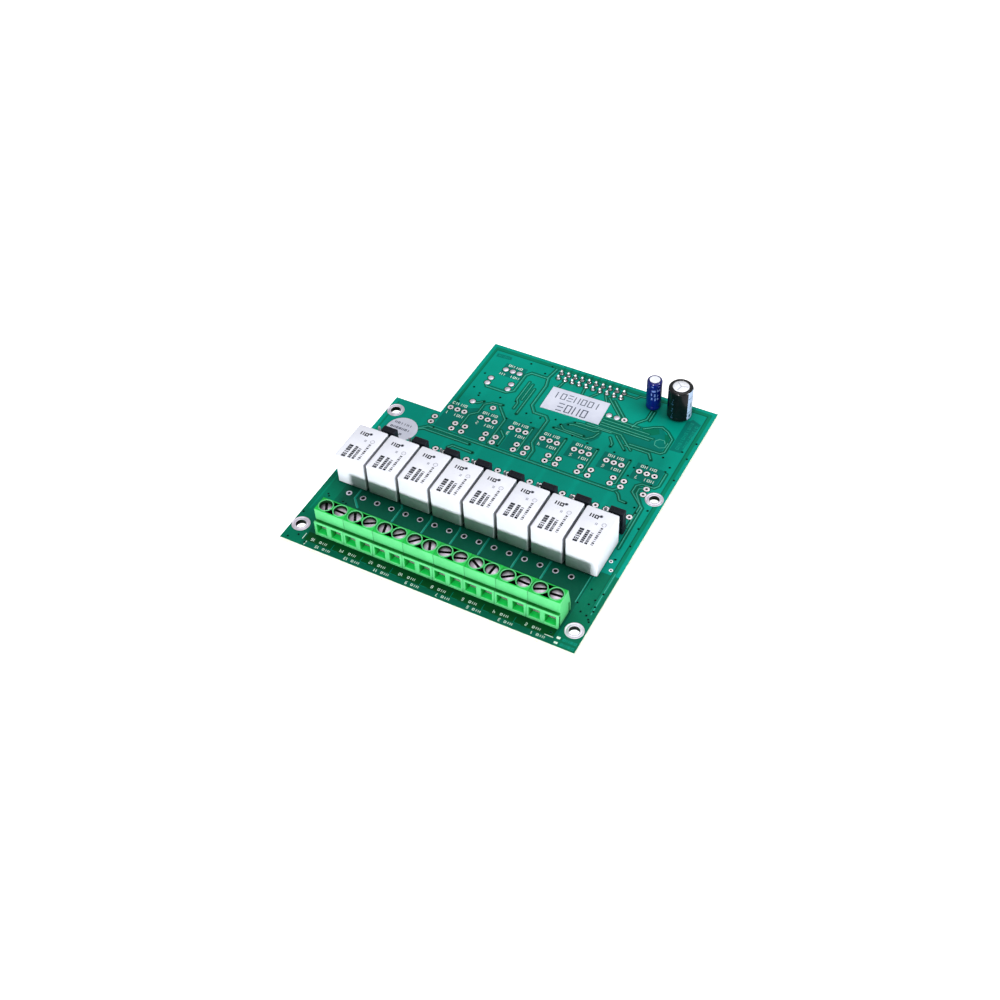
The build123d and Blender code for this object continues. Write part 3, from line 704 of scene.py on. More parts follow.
# bare ground round the terminals, darkened as painted shade of the terminals and the relays
groundWithPaintedShade = [[(6.9, 0.04), (91.3, 0.04), (91.3, 29.0), (6.6, 29.0)]]  # dark ground round the terminals
# the strip in front of the terminals is bare ground, darkened by painted shade and tinted by a painted green
# reflection of the terminals
stripWithPaintedShade = [[(7.2, 2.2), (90.4, 2.2), (90.4, 5.6), (7.2, 5.6)]]  # the strip in front of the terminals
layer = {"bare": 0.010, "gap": 0.016, "trace": 0.030, "pad": 0.045, "print": 0.020, "step": 0.0006}
# edge, frontEdge, edgeInset, edgeShare and edgeRise size and place the painted highlight beside each trace
copper = {
    "clearance": 0.9, "edge": 0.16, "frontEdge": 0.1, "edgeInset": 0.08, "edgeShare": 0.7, "edgeRise": 0.008,
    "lifts": 12, "areaStep": 0.0002, "lineRise": 0.008, "padGap": (-0.2, 0.34, 0.0085), "bigPad": 0.7,
    "headerGap": (0.3, 1.15, 0.0095), "finishes": {
        "copper_free_ground": "maskBare", "laminate_ground_painted_shade": "maskBarePaintedShade", "edge_bands": "maskMid",
        "corner_ground_and_painted_reflection": "maskCorner", "copper_clearances": "maskGap", "copper_traces": "trace",
        "trace_painted_highlights": "tracePaintedHighlight"},
}
pads = {
    "sides": 24, "soft": (0.05, 0.01), "landSides": 48,
    "blob": [(0.7, 0.1), (0.35, 0.14)],  # radius and rise of the solder on a filled pad
    "land": [(2.88, 0.0), (2.88, 0.05), (2.82, 0.09), (2.6, 0.09), (2.48, 0.03), (2.1, 0.03), (2.0, 0.08)],
    "lip": (0.06, 0.08, 0.04),
}


def makeCopper():
    sheets = {name: bmesh.new() for name in copper["finishes"]}
    bare, deep, rim, corner, gaps, lines, edges = sheets.values()
    for bm, areas, lift in ((bare, bareAreas, 0.0), (corner, cornerAreas, 0.0025), (gaps, groundWithPaintedShade, 0.003),
                            (deep, stripWithPaintedShade, 0.005)):
        for i, outline in enumerate(areas):
            addSheet(bm, outline, 0.0, layer["bare"] + lift + i * copper["areaStep"])
    for i, (width, points) in enumerate(traces + frontTraces):
        lift = (i % copper["lifts"]) * layer["step"]
        inFront = (width, points) in frontTraces
        if not inFront:
            addSheet(gaps, ribbonOutline(points, width + copper["clearance"]), 0.0, layer["gap"] + lift)
        addSheet(lines, ribbonOutline(points, width), 0.0, layer["trace"] + lift)
        # a thin pale band along each trace's front left side: a painted highlight where light would catch its edge
        shift = width / 2 - copper["edgeInset"]
        beside = [(x - copper["edgeShare"] * shift, y - copper["edgeShare"] * shift) for x, y in points]
        band = ribbonOutline(beside, copper["frontEdge"] if inFront else copper["edge"])
        addSheet(edges, band, 0.0, layer["trace"] + lift + copper["edgeRise"])
    for i, (width, points) in enumerate(margins):
        addSheet(rim, ribbonOutline(points, width), 0.0, layer["gap"] + i * layer["step"])
    for i, (width, points) in enumerate(marginLines):
        addSheet(gaps, ribbonOutline(points, width), 0.0, layer["gap"] + copper["lineRise"] + i * layer["step"])
    inner, outer, rise = copper["padGap"]
    for x, y, padR, holeR in openPads:
        if padR > copper["bigPad"]:
            addRing(gaps, x, y, padR + inner, padR + outer, 0.0, layer["gap"] + rise, 20)
    inner, outer, rise = copper["headerGap"]
    for x, y in headerSpots:
        addRing(gaps, x, y, inner, outer, 0.0, layer["gap"] + rise, 16)
    for name, bm in sheets.items():
        makePiece(name, bm, [copper["finishes"][name]])


def makePads():
    bm, vias = bmesh.new(), bmesh.new()
    thick, pad, sides = board["thick"], layer["pad"], pads["sides"]
    side, down = pads["soft"]
    for x, y, padR, holeR in openPads:
        if holeR > 0:
            for low, high in ((0.0, pad), (-thick - pad, -thick)):
                # pads behind the first row take the brighter copy of tin, painted light
                addRing(bm, x, y, holeR, padR, low, high, sides, 1 if y > padRow["y"] else 0)
            continue
        above = [(padR, 0.0), (padR, pad - down), (padR - side, pad)]
        addTurned(bm, x, y, above + [(r, pad + z) for r, z in pads["blob"]], sides)
        below = [(r, -thick - pad - z) for r, z in reversed(pads["blob"])]
        addTurned(bm, x, y, below + [(padR, -thick - pad), (padR, -thick)], sides)
    # a plated land with a raised rim outside and round each mounting hole, on both faces
    holeR, (lip, lipHigh, lipLow) = board["holeR"], pads["lip"]
    land = [(holeR, 0.0), *pads["land"], (holeR + lip, lipHigh), (holeR, lipLow)]
    for x, y in board["mounts"]:
        for way, base in ((1, 0.0), (-1, -thick)):
            addHollow(bm, x, y, [(radius, base + way * z) for radius, z in land], pads["landSides"])
    makePiece("plated_pads", bm, ["tin", "pin"])
    for x, y in viaSpots:
        addRing(vias, x, y, viaR["hole"], viaR["ring"], 0.0, pad, 10)
    makePiece("covered_vias", vias, ["maskGap"])


makeCopper()
makePads()


solder = {"profile": [0.0, 0.12, 0.35, 0.65, 1.0], "power": 2.2, "start": 0.04, "sides": 14,
          "under": (1.05, 1.0), "leadShare": 0.95, "tip": (0.66, 0.36, 0.6)}


def addSolder(bm, x, y, padR, leadR, side, height):
    # a concave fillet round a lead, on top (1) or underneath (-1)
    base = 0.0 if side > 0 else -board["thick"]
    profile = [(padR, base)]
    for share in solder["profile"]:
        radius = leadR + (padR - leadR) * (1 - share) ** solder["power"]
        profile.append((radius, base + side * (solder["start"] + height * share)))
    addTurned(bm, x, y, profile, solder["sides"])


def makeSolder():
    bm = bmesh.new()
    padR, height = solder["under"]
    for x, y, halfX, halfY in leadSpots:
        addSolder(bm, x, y, padR, max(halfX, halfY) * solder["leadShare"], -1, height)
    padR, leadR, height = solder["tip"]
    for x, y in headerSpots:
        addSolder(bm, x, y, padR, leadR, 1, height)
    makePiece("solder_joints", bm, ["solder"])


makeSolder()
print("board made")


def addLead(bm, x, y, half, low, high, tipLow, tipHigh=0.0):
    # square lead with a tapered end underneath, and on top where its length is given
    levels = [(leadEnd["share"], low), (1.0, low + tipLow), (1.0, high - tipHigh)]
    if tipHigh:
        levels.append((leadEnd["share"], high))
    loops = []
    for share, z in levels:
        corners = boxPoints(x, y, 2 * half[0] * share, 2 * half[1] * share)
        loops.append([spot(px, py, z) for px, py in corners])
    addLoops(bm, loops, smooth=False)


def makeLeads():
    under = -board["thick"] - leadEnd["tail"]
    low, high = (corner.z / mm - board["thick"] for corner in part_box("socket_contacts"))
    leadKinds = [
        ("relay_leads", "tin", "tinned_lead", "relay_pins", relayPinSpots, relays["pinHalf"],
         (under, relays["foot"], leadEnd["low"])),
        ("header_pins", "pin", "tinned_lead", "jumper_pins", jumperPinSpots, jumpers["pinHalf"],
         (under, jumpers["pinTop"], leadEnd["low"], leadEnd["high"])),
        ("socket_pins", "pin", "tinned_contact", "socket_contacts", headerSpots, header["pinHalf"],
         (low, high, leadEnd["socketLow"], leadEnd["socketHigh"])),
    ]
    for name, key, slotName, node, spots, half, levels in leadKinds:
        bm = bmesh.new()
        for x, y in spots:
            addLead(bm, x, y, half, *levels)
        makePiece(name, bm, [key], [node], sharp=0)
    for node, key in (("terminal_contacts", "tin"), ("relay_bases", "relayBase")):
        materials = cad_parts[node].data.materials
        materials.clear()
        materials.append(finish[key])


makeLeads()

# one two-pole housing, from its own middle: y and z of its outline, and the sizes of what is cut into it
block = {
    "width": 10.10, "outline": [(-4.24, 0), (-3.80, 5.38), (-3.50, 5.38), (-3.34, 5.05), (-2.39, 5.05),
                                (-2.39, 5.55), (-2.74, 5.55), (-2.74, 9.85), (2.56, 9.85), (3.86, 3.6), (3.86, 0)],
    "top": 9.85, "frontWall": 2.74, "backWall": 2.56, "wellR": 2.05, "collarR": 2.4, "collarHeight": 0.15,
    "collarFoot": 0.4, "soft": 0.11, "pole": 2.54, "seat": 7.75, "shankGap": 2.6,
    "chamber": (4.16, 3.86, 0.85, 7.25), "window": (3.5, 0.9, 4.6), "throat": (2.9, 1.0, 4.1), "throatY": -2.73,
    "mouthY": -4.24, "mouthSteps": (-0.3, 0.06, 0.34), "flare": 0.2,
    "pocketDepth": 3.0, "pocketNear": 0.8, "pocketNarrow": 0.9, "pocketWide": 2.9, "pocketWall": 0.4,
    "dovetails": [(-3.2, 4.8), (2.9, 4.3)], "dovetailWidth": 0.7, "dovetailDepth": 0.45, "dovetailPlay": 0.05,
    "leg": (2.255, 1.1, 0.85, 4.1), "floorStep": 0.8,
    "past": 0.5,  # cutters reach this far past what they open
}
# where blockTone finds the groove, the pockets between the wells and the insides of the windows
zones = {"near": 0.02, "wide": 4.7, "groove": (-3.45, -2.3, 5.0, 5.6), "pocket": (1.5, 0.7, 2.45),
         "window": (0.3, -1.9, 0.7, 4.8)}
screwShape = {"headR": 1.9, "head": 1.1, "headSides": 56, "slotWidth": 0.86, "slotDepth": 0.7, "shank": 3.5,
              "shankR": 1.2, "shankSides": 24, "pointR": 0.7, "point": 0.12, "thread": 0.45, "threadDepth": 0.2,
              "proud": 0.45, "angles": [120, 178, 120, 30, 105, 40, 45, 115, 20, 20, 150, 85, 35, 178, 25, 5]}
clampShape = {"width": 4.0, "length": 3.7, "wall": 0.5, "floor": 0.6, "inside": 2.85, "roof": 1.3, "rest": 0.85,
              "holeR": 1.28, "holeSides": 32, "soft": 0.1}


def carved(thing, cutters, operation="DIFFERENCE"):
    # cuts (or joins) each of the cutters in turn
    for cutter in cutters:
        cut = thing.modifiers.new("carve", "BOOLEAN")
        cut.operation = operation
        cut.solver = "EXACT"
        cut.object = cutter
        applied(thing)
        bpy.data.objects.remove(cutter)
    return thing


def localPoint(x, y, z):
    # a point of a mesh made about its own middle
    return Vector((x, y, z)) * mm


def addLocal(bm, outlines, levels, smooth=False):
    # skins outlines, one for each level, about a piece's own middle
    loops = [[localPoint(x, y, z) for x, y in outline] for outline, z in zip(outlines, levels)]
    addLoops(bm, loops, smooth=smooth)


def addLocalTurned(bm, x, profile, sides):
    addLocal(bm, [circlePoints(x, 0, radius, sides) for radius, z in profile], [z for radius, z in profile], True)


def boxCutter(x, y, width, depth, low, high):
    bm = bmesh.new()
    addLocal(bm, [boxPoints(x, y, width, depth)] * 2, (low, high))
    return looseObject("cutter", bm)


def turnedCutter(x, profile, sides=48):
    bm = bmesh.new()
    addLocalTurned(bm, x, profile, sides)
    return looseObject("cutter", bm)


def funnelCutter(x):
    # the wire's way in: a small flare at the mouth, then a taper to the throat
    width, sill, head = block["window"]
    flare = block["flare"]
    mouth = (width + 2 * flare, sill - flare, head + flare)
    outside, edge, neck = (block["mouthY"] + step for step in block["mouthSteps"])
    sections = [
        (outside, *mouth), (edge, *mouth), (neck, width, sill, head), (block["throatY"], *block["throat"]),
        (-block["chamber"][1] / 2 + 0.2, *block["throat"]),
    ]
    bm = bmesh.new()
    loops = []
    for y, wide, low, high in sections:
        corners = ((-1, low), (1, low), (1, high), (-1, high))
        loops.append([localPoint(x + side * wide / 2, y, z) for side, z in corners])
    addLoops(bm, loops, smooth=False)
    return looseObject("cutter", bm)


def pocketCutter(side):
    near = side * block["pocketNear"]
    wall = block["frontWall"] if side < 0 else block["backWall"]
    far = side * (wall - block["pocketWall"])
    low, high = block["top"] - block["pocketDepth"], block["top"] + block["past"]
    corners = [(-block["pocketNarrow"] / 2, near), (block["pocketNarrow"] / 2, near),
               (block["pocketWide"] / 2, far), (-block["pocketWide"] / 2, far)]
    bm = bmesh.new()
    addLocal(bm, [corners] * 2, (low, high))
    return looseObject("cutter", bm)


def blockTone(place, normal):
    # the finish that a face of the housing takes: 0 outside; 1 on top, in the groove and on the windows' side
    # walls, a darker copy as painted shade; 2 inside its hollows, a darker one still as painted shade; 3 on the
    # windows' sills, a brighter copy as painted light
    x, y, z = place / mm
    top, near, wide = block["top"], zones["near"], abs(x) < zones["wide"]
    front, back, low, high = zones["groove"]
    inGroove = front < y < back and low < z < high and wide
    if inGroove or (normal.z > 0.9 and abs(z - top) < near):
        return 1
    fromAxis = math.hypot(abs(x) - block["pole"], y)
    inWell = fromAxis < block["wellR"] + near and block["seat"] - 0.05 < z < top - 0.04
    half, front, back = zones["pocket"]
    inPocket = abs(x) < half and front < abs(y) < back and top - block["pocketDepth"] - near < z < top - 0.04
    inChamber = wide and abs(y) < block["chamber"][1] / 2 + 0.01 and z < block["seat"] + 0.1
    if inWell or inPocket or inChamber:
        return 2
    front, back, low, high = zones["window"]
    if wide and block["mouthY"] + front < y < back and abs(normal.y) < 0.6 and low < z < high:
        return 3 if normal.z > 0.7 else 1 if abs(normal.x) > 0.5 else 2
    return 0


def makeBlockMesh():
    # one two-pole housing about its own middle
    bm = bmesh.new()
    half, top, past = block["width"] / 2, block["top"], block["past"]
    addLoops(bm, [[localPoint(x, y, z) for y, z in block["outline"]] for x in (-half, half)], smooth=False)
    body = softened(looseObject("housing", bm), block["soft"])
    chamberWidth, chamberDepth, chamberLow, chamberTop = block["chamber"]
    legY, legWidth, legDepth, legTop = block["leg"]
    cutters = []
    for side in (-1, 1):
        x = side * block["pole"]
        cutters.append(turnedCutter(x, [(block["wellR"], block["seat"]), (block["wellR"], top + past)]))
        cutters.append(boxCutter(x, 0, block["shankGap"], chamberDepth, -past, block["seat"] + 0.1))
        cutters.append(boxCutter(x, 0, chamberWidth, chamberDepth, chamberLow, chamberTop))
        cutters.append(boxCutter(x, 0, chamberWidth - block["floorStep"], chamberDepth, -past, chamberLow + 0.1))
        cutters.append(funnelCutter(x))
        cutters.append(boxCutter(x, legY, legWidth, legDepth, -past, legTop))
    cutters += [pocketCutter(-1), pocketCutter(1)]
    ribs = []
    depth, width, play = block["dovetailDepth"], block["dovetailWidth"], block["dovetailPlay"]
    for y, height in block["dovetails"]:
        cutters.append(boxCutter(half - depth / 2 + 0.1, y, depth + 0.2, width, -past, height))
    depth, width = depth - play, width - 2 * play
    for y, height in block["dovetails"]:
        ribs.append(boxCutter(-half - depth / 2 + 0.05, y, depth + 0.1, width, 0.0, height - play))
    mesh = takenMesh(carved(carved(body, cutters), ribs, "UNION"))
    bm = bmesh.new()
    bm.from_mesh(mesh)
    # collar round each well, a little above the top
    inner, outer = block["wellR"], block["collarR"]
    foot, rim = top - block["collarFoot"], top + block["collarHeight"]
    collar = [(inner, foot), (outer, foot), (outer, rim - 0.09), (outer - 0.06, rim - 0.02), (outer - 0.14, rim),
              (inner + 0.11, rim), (inner + 0.03, rim - 0.03), (inner, rim - 0.1)]
    for side in (-1, 1):
        addHollow(bm, side * block["pole"], 0, collar, 48, place=localPoint)
    bm.normal_update()
    for face in bm.faces:
        face.material_index = blockTone(face.calc_center_median(), face.normal)
    bm.to_mesh(mesh)
    bm.free()
    return mesh


def makeScrewMesh():
    s = screwShape
    headR, head, slotLow = s["headR"], s["head"], s["head"] - s["slotDepth"]
    profile = [(headR - 0.12, 0.0), (headR, 0.1), (headR, head - 0.14), (headR - 0.05, head - 0.05),
               (headR - 0.16, head)]
    slot = boxCutter(0, 0, 2 * headR + 1, s["slotWidth"], slotLow, head + block["past"])
    mesh = takenMesh(carved(turnedCutter(0, profile, s["headSides"]), [slot]))
    bm = bmesh.new()
    bm.from_mesh(mesh)
    inSlot, slotFloor = s["slotWidth"] / 2 * mm + 1e-6, slotLow * mm - 1e-6
    for face in bm.faces:
        inside = all(abs(v.co.y) < inSlot and v.co.z > slotFloor for v in face.verts)
        face.material_index = 1 if inside else 0
    inner = s["shankR"] - s["threadDepth"]
    profile = [(s["pointR"], -s["shank"])]
    for i in range(int(s["shank"] / s["thread"])):
        z = -s["shank"] + s["point"] + i * s["thread"]
        profile += [(inner, z), (s["shankR"], z + s["thread"] / 2)]
    profile.append((inner, 0.02))
    addLocalTurned(bm, 0, profile, s["shankSides"])
    bm.to_mesh(mesh)
    bm.free()
    return mesh


def makeClampMesh():
    c, past = clampShape, block["past"]
    low = c["rest"] + c["floor"]
    top = low + c["inside"] + c["roof"]
    body = softened(boxCutter(0, 0, c["width"], c["length"], c["rest"], top), c["soft"])
    inside = boxCutter(0, 0, c["width"] - 2 * c["wall"], c["length"] + 1, low, low + c["inside"])
    hole = turnedCutter(0, [(c["holeR"], top - c["roof"] - past), (c["holeR"], top + past)], c["holeSides"])
    return takenMesh(carved(body, [inside, hole]))


def placed(mesh, x, y, z=0.0, turn=0.0):
    # a copy of a mesh made about its own middle, set down at a place on the board
    copy = mesh.copy()
    copy.transform(Matrix.Translation(spot(x, y, z)) @ Matrix.Rotation(math.radians(turn), 4, "Z"))
    return copy


def makeTerminals():
    housing, screw, clamp = makeBlockMesh(), makeScrewMesh(), makeClampMesh()
    line = terminal["line"]
    for k in range(terminal["blocks"]):
        x = terminal["first"] + (2 * k + 0.5) * terminal["pitch"]
        finishPiece(f"terminal_block_{k + 1}", placed(housing, x, line),
                    ["terminal", "terminalPaintedHalfShade", "terminalShade", "terminalSillPaintedLight"], rootBody,
                    [f"terminal_housing_{k + 1}"], 30)
    for k, (x, y) in enumerate(poleSpots):
        screwBody, clampBody = f"clamp_screw_{k + 1:02d}", f"wire_clamp_{k + 1:02d}"
        lift = block["seat"] + (screwShape["proud"] if k else 0.0)  # the first screw is turned further in
        finishPiece(f"screw_{k + 1:02d}", placed(screw, x, y, lift, screwShape["angles"][k]), ["screw", "slot"],
                    screwBody, [screwBody])
        finishPiece(f"clamp_{k + 1:02d}", placed(clamp, x, y), ["clamp"], clampBody, [clampBody])


makeTerminals()
print("terminals made")


def makeRelays():
    for k, (x, y) in enumerate(relayMiddles):
        bm = bmesh.new()
        addSoftBox(bm, x, y, relays["width"], relays["length"], relays["foot"], relays["top"], relays["corner"],
                   relays["edge"], relays["footEdge"])
        makePiece(f"relay_case_{k + 1}", bm, ["relay"], [f"relay_cover_{k + 1}"], 50)


makeRelays()

# Plain marks on a relay's top. Each column gives its left edge, its start, its shapes, their width along the
# column, the gap between them, their height and their weight.
relayPrint = {
    "columns": [(-3.25, -6.9, ["frame", "steps", "bar", "frame", "pair", "block"], 0.78, 0.16, 1.4, 0.36),
                (-1.05, -6.6, ["steps", "pair", "frame", "pair", "frame", "steps", "pair"], 0.62, 0.15, 1.0, 0.3),
                (0.38, -6.6, ["block", "frame", "pair", "frame", "frame", "bar"], 0.68, 0.18, 0.85, 0.26),
                (2.2, -6.4, ["bar", "frame", "bar", "bar", "frame", "steps", "bar", "frame", "bar", "pair"], 0.56,
                 0.2, 0.75, 0.24)],
    "symbol": [(-2.9, 3.7, "pair", 1.25, 1.4, 0.4), (-1.35, 3.6, "frame", 1.3, 1.45, 0.4)],
    "dot": (0.48, 4.95, 0.55), "slash": (0.0, 1.3, 0.25, 0.15, 0.9, 0.2), "vent": (2.6, 2.25, 0.72),
}


def makeRelayPrint():
    dark, faint, vents = bmesh.new(), bmesh.new(), bmesh.new()
    low, high = relays["top"] - 0.01, relays["top"] + 0.015
    along, toward = Vector((0, 1)), Vector((1, 0))
    for x, y in relayMiddles:
        for left, first, *column in relayPrint["columns"]:
            addRow(dark, x + left, y + first, *column, low, high, along, toward)
        for left, first, *symbol in relayPrint["symbol"]:
            addShape(dark, Vector((x + left, y + first)), toward, along, *symbol, low, high)
        dx, dy, radius = relayPrint["dot"]
        addTurned(faint, x + dx, y + dy, [(radius, low), (radius, high)], 20)
        addTurned(dark, x + dx, y + dy, [(radius * 0.7, low), (radius * 0.7, high + 0.002)], 20)
        dx, dy, *slashes = relayPrint["slash"]
        addRow(faint, x + dx, y + dy, ["bar", "bar"], *slashes, low, high)
        dx, dy, radius = relayPrint["vent"]
        addRing(faint, x + dx, y + dy, radius - 0.1, radius, low, high + 0.01, 28)
        vent = [(radius - 0.12, low), (radius - 0.12, high + 0.01), (radius - 0.22, high + 0.02)]
        addTurned(vents, x + dx, y + dy, vent, 24)
    makePiece("relay_marks", dark, ["ink"], sharp=0)
    makePiece("relay_faint_marks", faint, ["faintInk"], sharp=0)
    makePiece("relay_vents", vents, ["relay"])


makeRelayPrint()
print("relays made")


def makeJumpers():
    bases, shunts = bmesh.new(), bmesh.new()
    half, notch, pitch, y = jumpers["depth"] / 2, jumpers["notch"], jumpers["pitch"], jumpers["y"]
    shuntTop = jumpers["shuntTop"]
    for middleX, middleY in relayMiddles:
        x0 = middleX + jumpers["right"]
        outline = []
        for step in (-1, 0, 1):
            left = x0 + step * pitch - pitch / 2
            outline += [(left, -half + notch), (left + notch, -half), (left + pitch - notch, -half)]
        outline.append((x0 + 1.5 * pitch, -half + notch))
        outline += [(2 * x0 - px, -py) for px, py in outline]
        addPrism(bases, [(px, y + py) for px, py in outline], 0.0, jumpers["baseTop"])
        middle = x0 + pitch / 2
        addSoftBox(shunts, middle, y, jumpers["shuntWidth"], jumpers["shuntDepth"], jumpers["baseTop"], shuntTop,
                   jumpers["shuntEdge"], jumpers["shuntEdge"], 0.08, 3)
        for rib in jumpers["ribs"]:
            addSoftBox(shunts, middle, y + rib, jumpers["ribWidth"], jumpers["ribDepth"],
                       shuntTop - jumpers["ribRise"], shuntTop + jumpers["ribRise"], 0.1, 0.06, 0.0, 3)
    makePiece("header_bases", bases, ["black"], ["jumper_headers"])
    makePiece("shunt_caps", shunts, ["black"], ["jumper_shunts"])


makeJumpers()


# Marks are bands on the sleeve: from and to in height, and from and to in degrees from the +X side.
capacitors = [
    {"name": "capacitor_blue", "size": "small", "radius": 2.5, "top": 11.7, "rim": 0.76, "pinch": 0.14,
     "finishes": ("sleeveBlue", "sleeveInk"), "scores": 0, "stripe": (0.7, 0.4, 100, 140), "minusMarks": [],
     "marks": [(8.2, 9.0, -88, -58), (8.3, 9.2, -46, -38), (8.4, 9.4, -28, -20), (6.5, 7.6, -92, -84),
               (6.2, 7.4, -68, -58), (6.3, 7.2, -44, -38), (4.8, 5.8, -90, -80), (4.6, 5.6, -64, -54),
               (4.9, 5.7, -46, -34), (10.2, 10.6, -92, -76), (10.2, 10.6, -40, -22)]},
    {"name": "capacitor_black", "size": "large", "radius": 4.0, "top": 12.2, "rim": 1.32, "pinch": 0.08,
     "finishes": ("sleeveBlack", "dimInk"), "scores": 3, "stripe": (0.45, 0.3, -31, 10),
     "minusMarks": [(9.3, 9.5, -31, 10), (3.5, 3.7, -31, 10), (5.6, 7.4, -13, -8), (1.4, 2.6, -20, -6)],
     "marks": [(1.2 + 0.95 * i, 1.8 + 0.95 * i, -112 + 4 * (i % 3), -101 - 3 * (i % 2)) for i in range(9)]},
]


def radiusAt(profile, z):
    for (r0, z0), (r1, z1) in zip(profile, profile[1:]):
        if z0 <= z <= z1 and z1 > z0:
            return r0 + (r1 - r0) * (z - z0) / (z1 - z0)
    return profile[-1][0]


def addBand(bm, x, y, profile, low, high, fromAngle, toAngle, proud=0.012):
    # band on the sleeve's side that follows its profile
    levels = [low] + [z for r, z in profile if low < z < high] + [high]
    steps = max(2, int(abs(toAngle - fromAngle) / 4))
    turns = [math.radians(fromAngle + (toAngle - fromAngle) * i / steps) for i in range(steps + 1)]
    outer, inner = [], []
    for z in levels:
        for ring, r in ((outer, radiusAt(profile, z) + proud), (inner, radiusAt(profile, z) - 0.05)):
            ring.append([bm.verts.new(spot(x + r * math.cos(a), y + r * math.sin(a), z)) for a in turns])
    for k in range(len(levels) - 1):
        for i in range(steps):
            bm.faces.new((outer[k][i], outer[k][i + 1], outer[k + 1][i + 1], outer[k + 1][i]))
            bm.faces.new((inner[k][i + 1], inner[k][i], inner[k + 1][i], inner[k + 1][i + 1]))
        for i in (0, steps):
            bm.faces.new((outer[k][i], outer[k + 1][i], inner[k + 1][i], inner[k][i]))
    for k in (0, len(levels) - 1):
        for i in range(steps):
            bm.faces.new((outer[k][i], outer[k][i + 1], inner[k][i + 1], inner[k][i]))


def makeCapacitor(can):
    x, y, reach = canPlaces[can["size"]]
    name, radius, top, pinch = can["name"], can["radius"], can["top"], can["pinch"]
    disc = radius - can["rim"]
    sleeveKey, inkKey = can["finishes"]
    bm, stripe, marks = bmesh.new(), bmesh.new(), bmesh.new()
    profile = [
        (radius * 0.55, 0.32), (radius * 0.88, 0.32), (radius * 0.97, 0.42), (radius, 0.6), (radius, 1.2),
        (radius - pinch * 0.4, 1.5), (radius - pinch, 1.85), (radius - pinch, 2.0), (radius - pinch * 0.4, 2.3),
        (radius, 2.6), (radius, top - 0.75), (radius - 0.08, top - 0.42), (radius - 0.28, top - 0.16),
        (radius - 0.55, top - 0.05), (disc + 0.22, top), (disc + 0.04, top - 0.04), (disc, top - 0.12),
    ]
    addTurned(bm, x, y, profile, 48, 0, True, False)
    plate = [(disc, top - 0.13), (disc * 0.97, top - 0.09), (disc * 0.5, top - 0.08)]
    addTurned(bm, x, y, plate, 48, 1, False, True)
    for i in range(can["scores"]):
        # shallow scores from the middle of the top
        turn = 0.3 + 2 * math.pi / 3 * i
        away = Vector((math.cos(turn), math.sin(turn)))
        tip, start = Vector((x, y)) + away * disc * 0.8, Vector((x, y)) + away * 0.1
        addPrism(bm, ribbonOutline([tuple(start), tuple(tip)], 0.16), top - 0.1, top - 0.065, 3)
    end = -board["thick"] - leadEnd["tail"]
    for side in (-1, 1):
        addTurned(bm, x, y + side * reach, [(0.15, end), (canLeadR, end + 0.12), (canLeadR, 0.4)], 12, 2)
    makePiece(name + "_can", bm, [sleeveKey, "can", "tin", "faintInk"], ["capacitor_" + can["size"]])
    foot, head, *turns = can["stripe"]
    addBand(stripe, x, y, profile, foot, top - head, *turns)
    for mark in can["marks"]:
        addBand(marks, x, y, profile, *mark)
    for mark in can["minusMarks"]:
        addBand(marks, x, y, profile, *mark, 0.022)
    makePiece(name + "_stripe", stripe, ["stripe"])
    makePiece(name + "_marks", marks, [inkKey])


for can in capacitors:
    makeCapacitor(can)


def makeSocket():
    # the CAD node's own shape with its edges softened, in a new mesh that stands for it
    bm = bmesh.new()
    bm.from_mesh(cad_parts["socket_body"].data)
    bmesh.ops.remove_doubles(bm, verts=bm.verts[:], dist=0.002 * mm)
    bmesh.ops.dissolve_limit(bm, angle_limit=math.radians(1.0), verts=bm.verts[:], edges=bm.edges[:])
    body = softened(newObject("socket", newMesh("socket", bm)), 0.12, 30, True)
    finishPiece("socket_block", takenMesh(body), ["black"], rootBody, ["socket_body"])


makeSocket()
print("small parts made")

labelPrint = {
    "corners": [(44.79, 84.91), (65.54, 85.57), (64.89, 96.3), (44.5, 95.7)], "thick": 0.12,
    "rows": [(1.9, 6.1, ["bar", "frame", "steps", "pair", "frame", "frame", "bar"], 1.75, 0.66, 2.9, 0.3),
             (5.1, 0.75, ["steps", "frame", "pair", "frame"], 2.05, 0.75, 3.7, 0.38)],
    "round": (9.3, 56.1, 5.25),
    "roundRows": [(5.6, 57.9, ["pair", "frame", "bar", "bar", "pair", "bar"], 0.75, 0.35, 0.9, 0.24),
                  (5.1, 55.7, ["frame", "pair", "frame", "steps", "pair", "frame", "bar"], 0.8, 0.25, 0.9, 0.26),
                  (9.6, 53.4, ["frame"], 0.9, 0.2, 0.8, 0.24)],
}


def makeLabels():
    paper, marks = bmesh.new(), bmesh.new()
    corners, thick = labelPrint["corners"], labelPrint["thick"]
    levels = (thick, thick + 0.01)
    addPrism(paper, corners, 0.0, thick)
    x, y, radius = labelPrint["round"]
    addTurned(paper, x, y, [(radius, 0.0), (radius, thick)], 64)
    across = (Vector(corners[1]) - Vector(corners[0])).normalized()
    up = Vector((-across.y, across.x))
    for along, rise, *row in labelPrint["rows"]:
        addRow(marks, *(Vector(corners[0]) + across * along + up * rise), *row, *levels, across, up)
    for row in labelPrint["roundRows"]:
        addRow(marks, *row, *levels)
    makePiece("paper_labels", paper, ["paper"])
    makePiece("label_print", marks, ["labelInk"], sharp=0)


makeLabels()


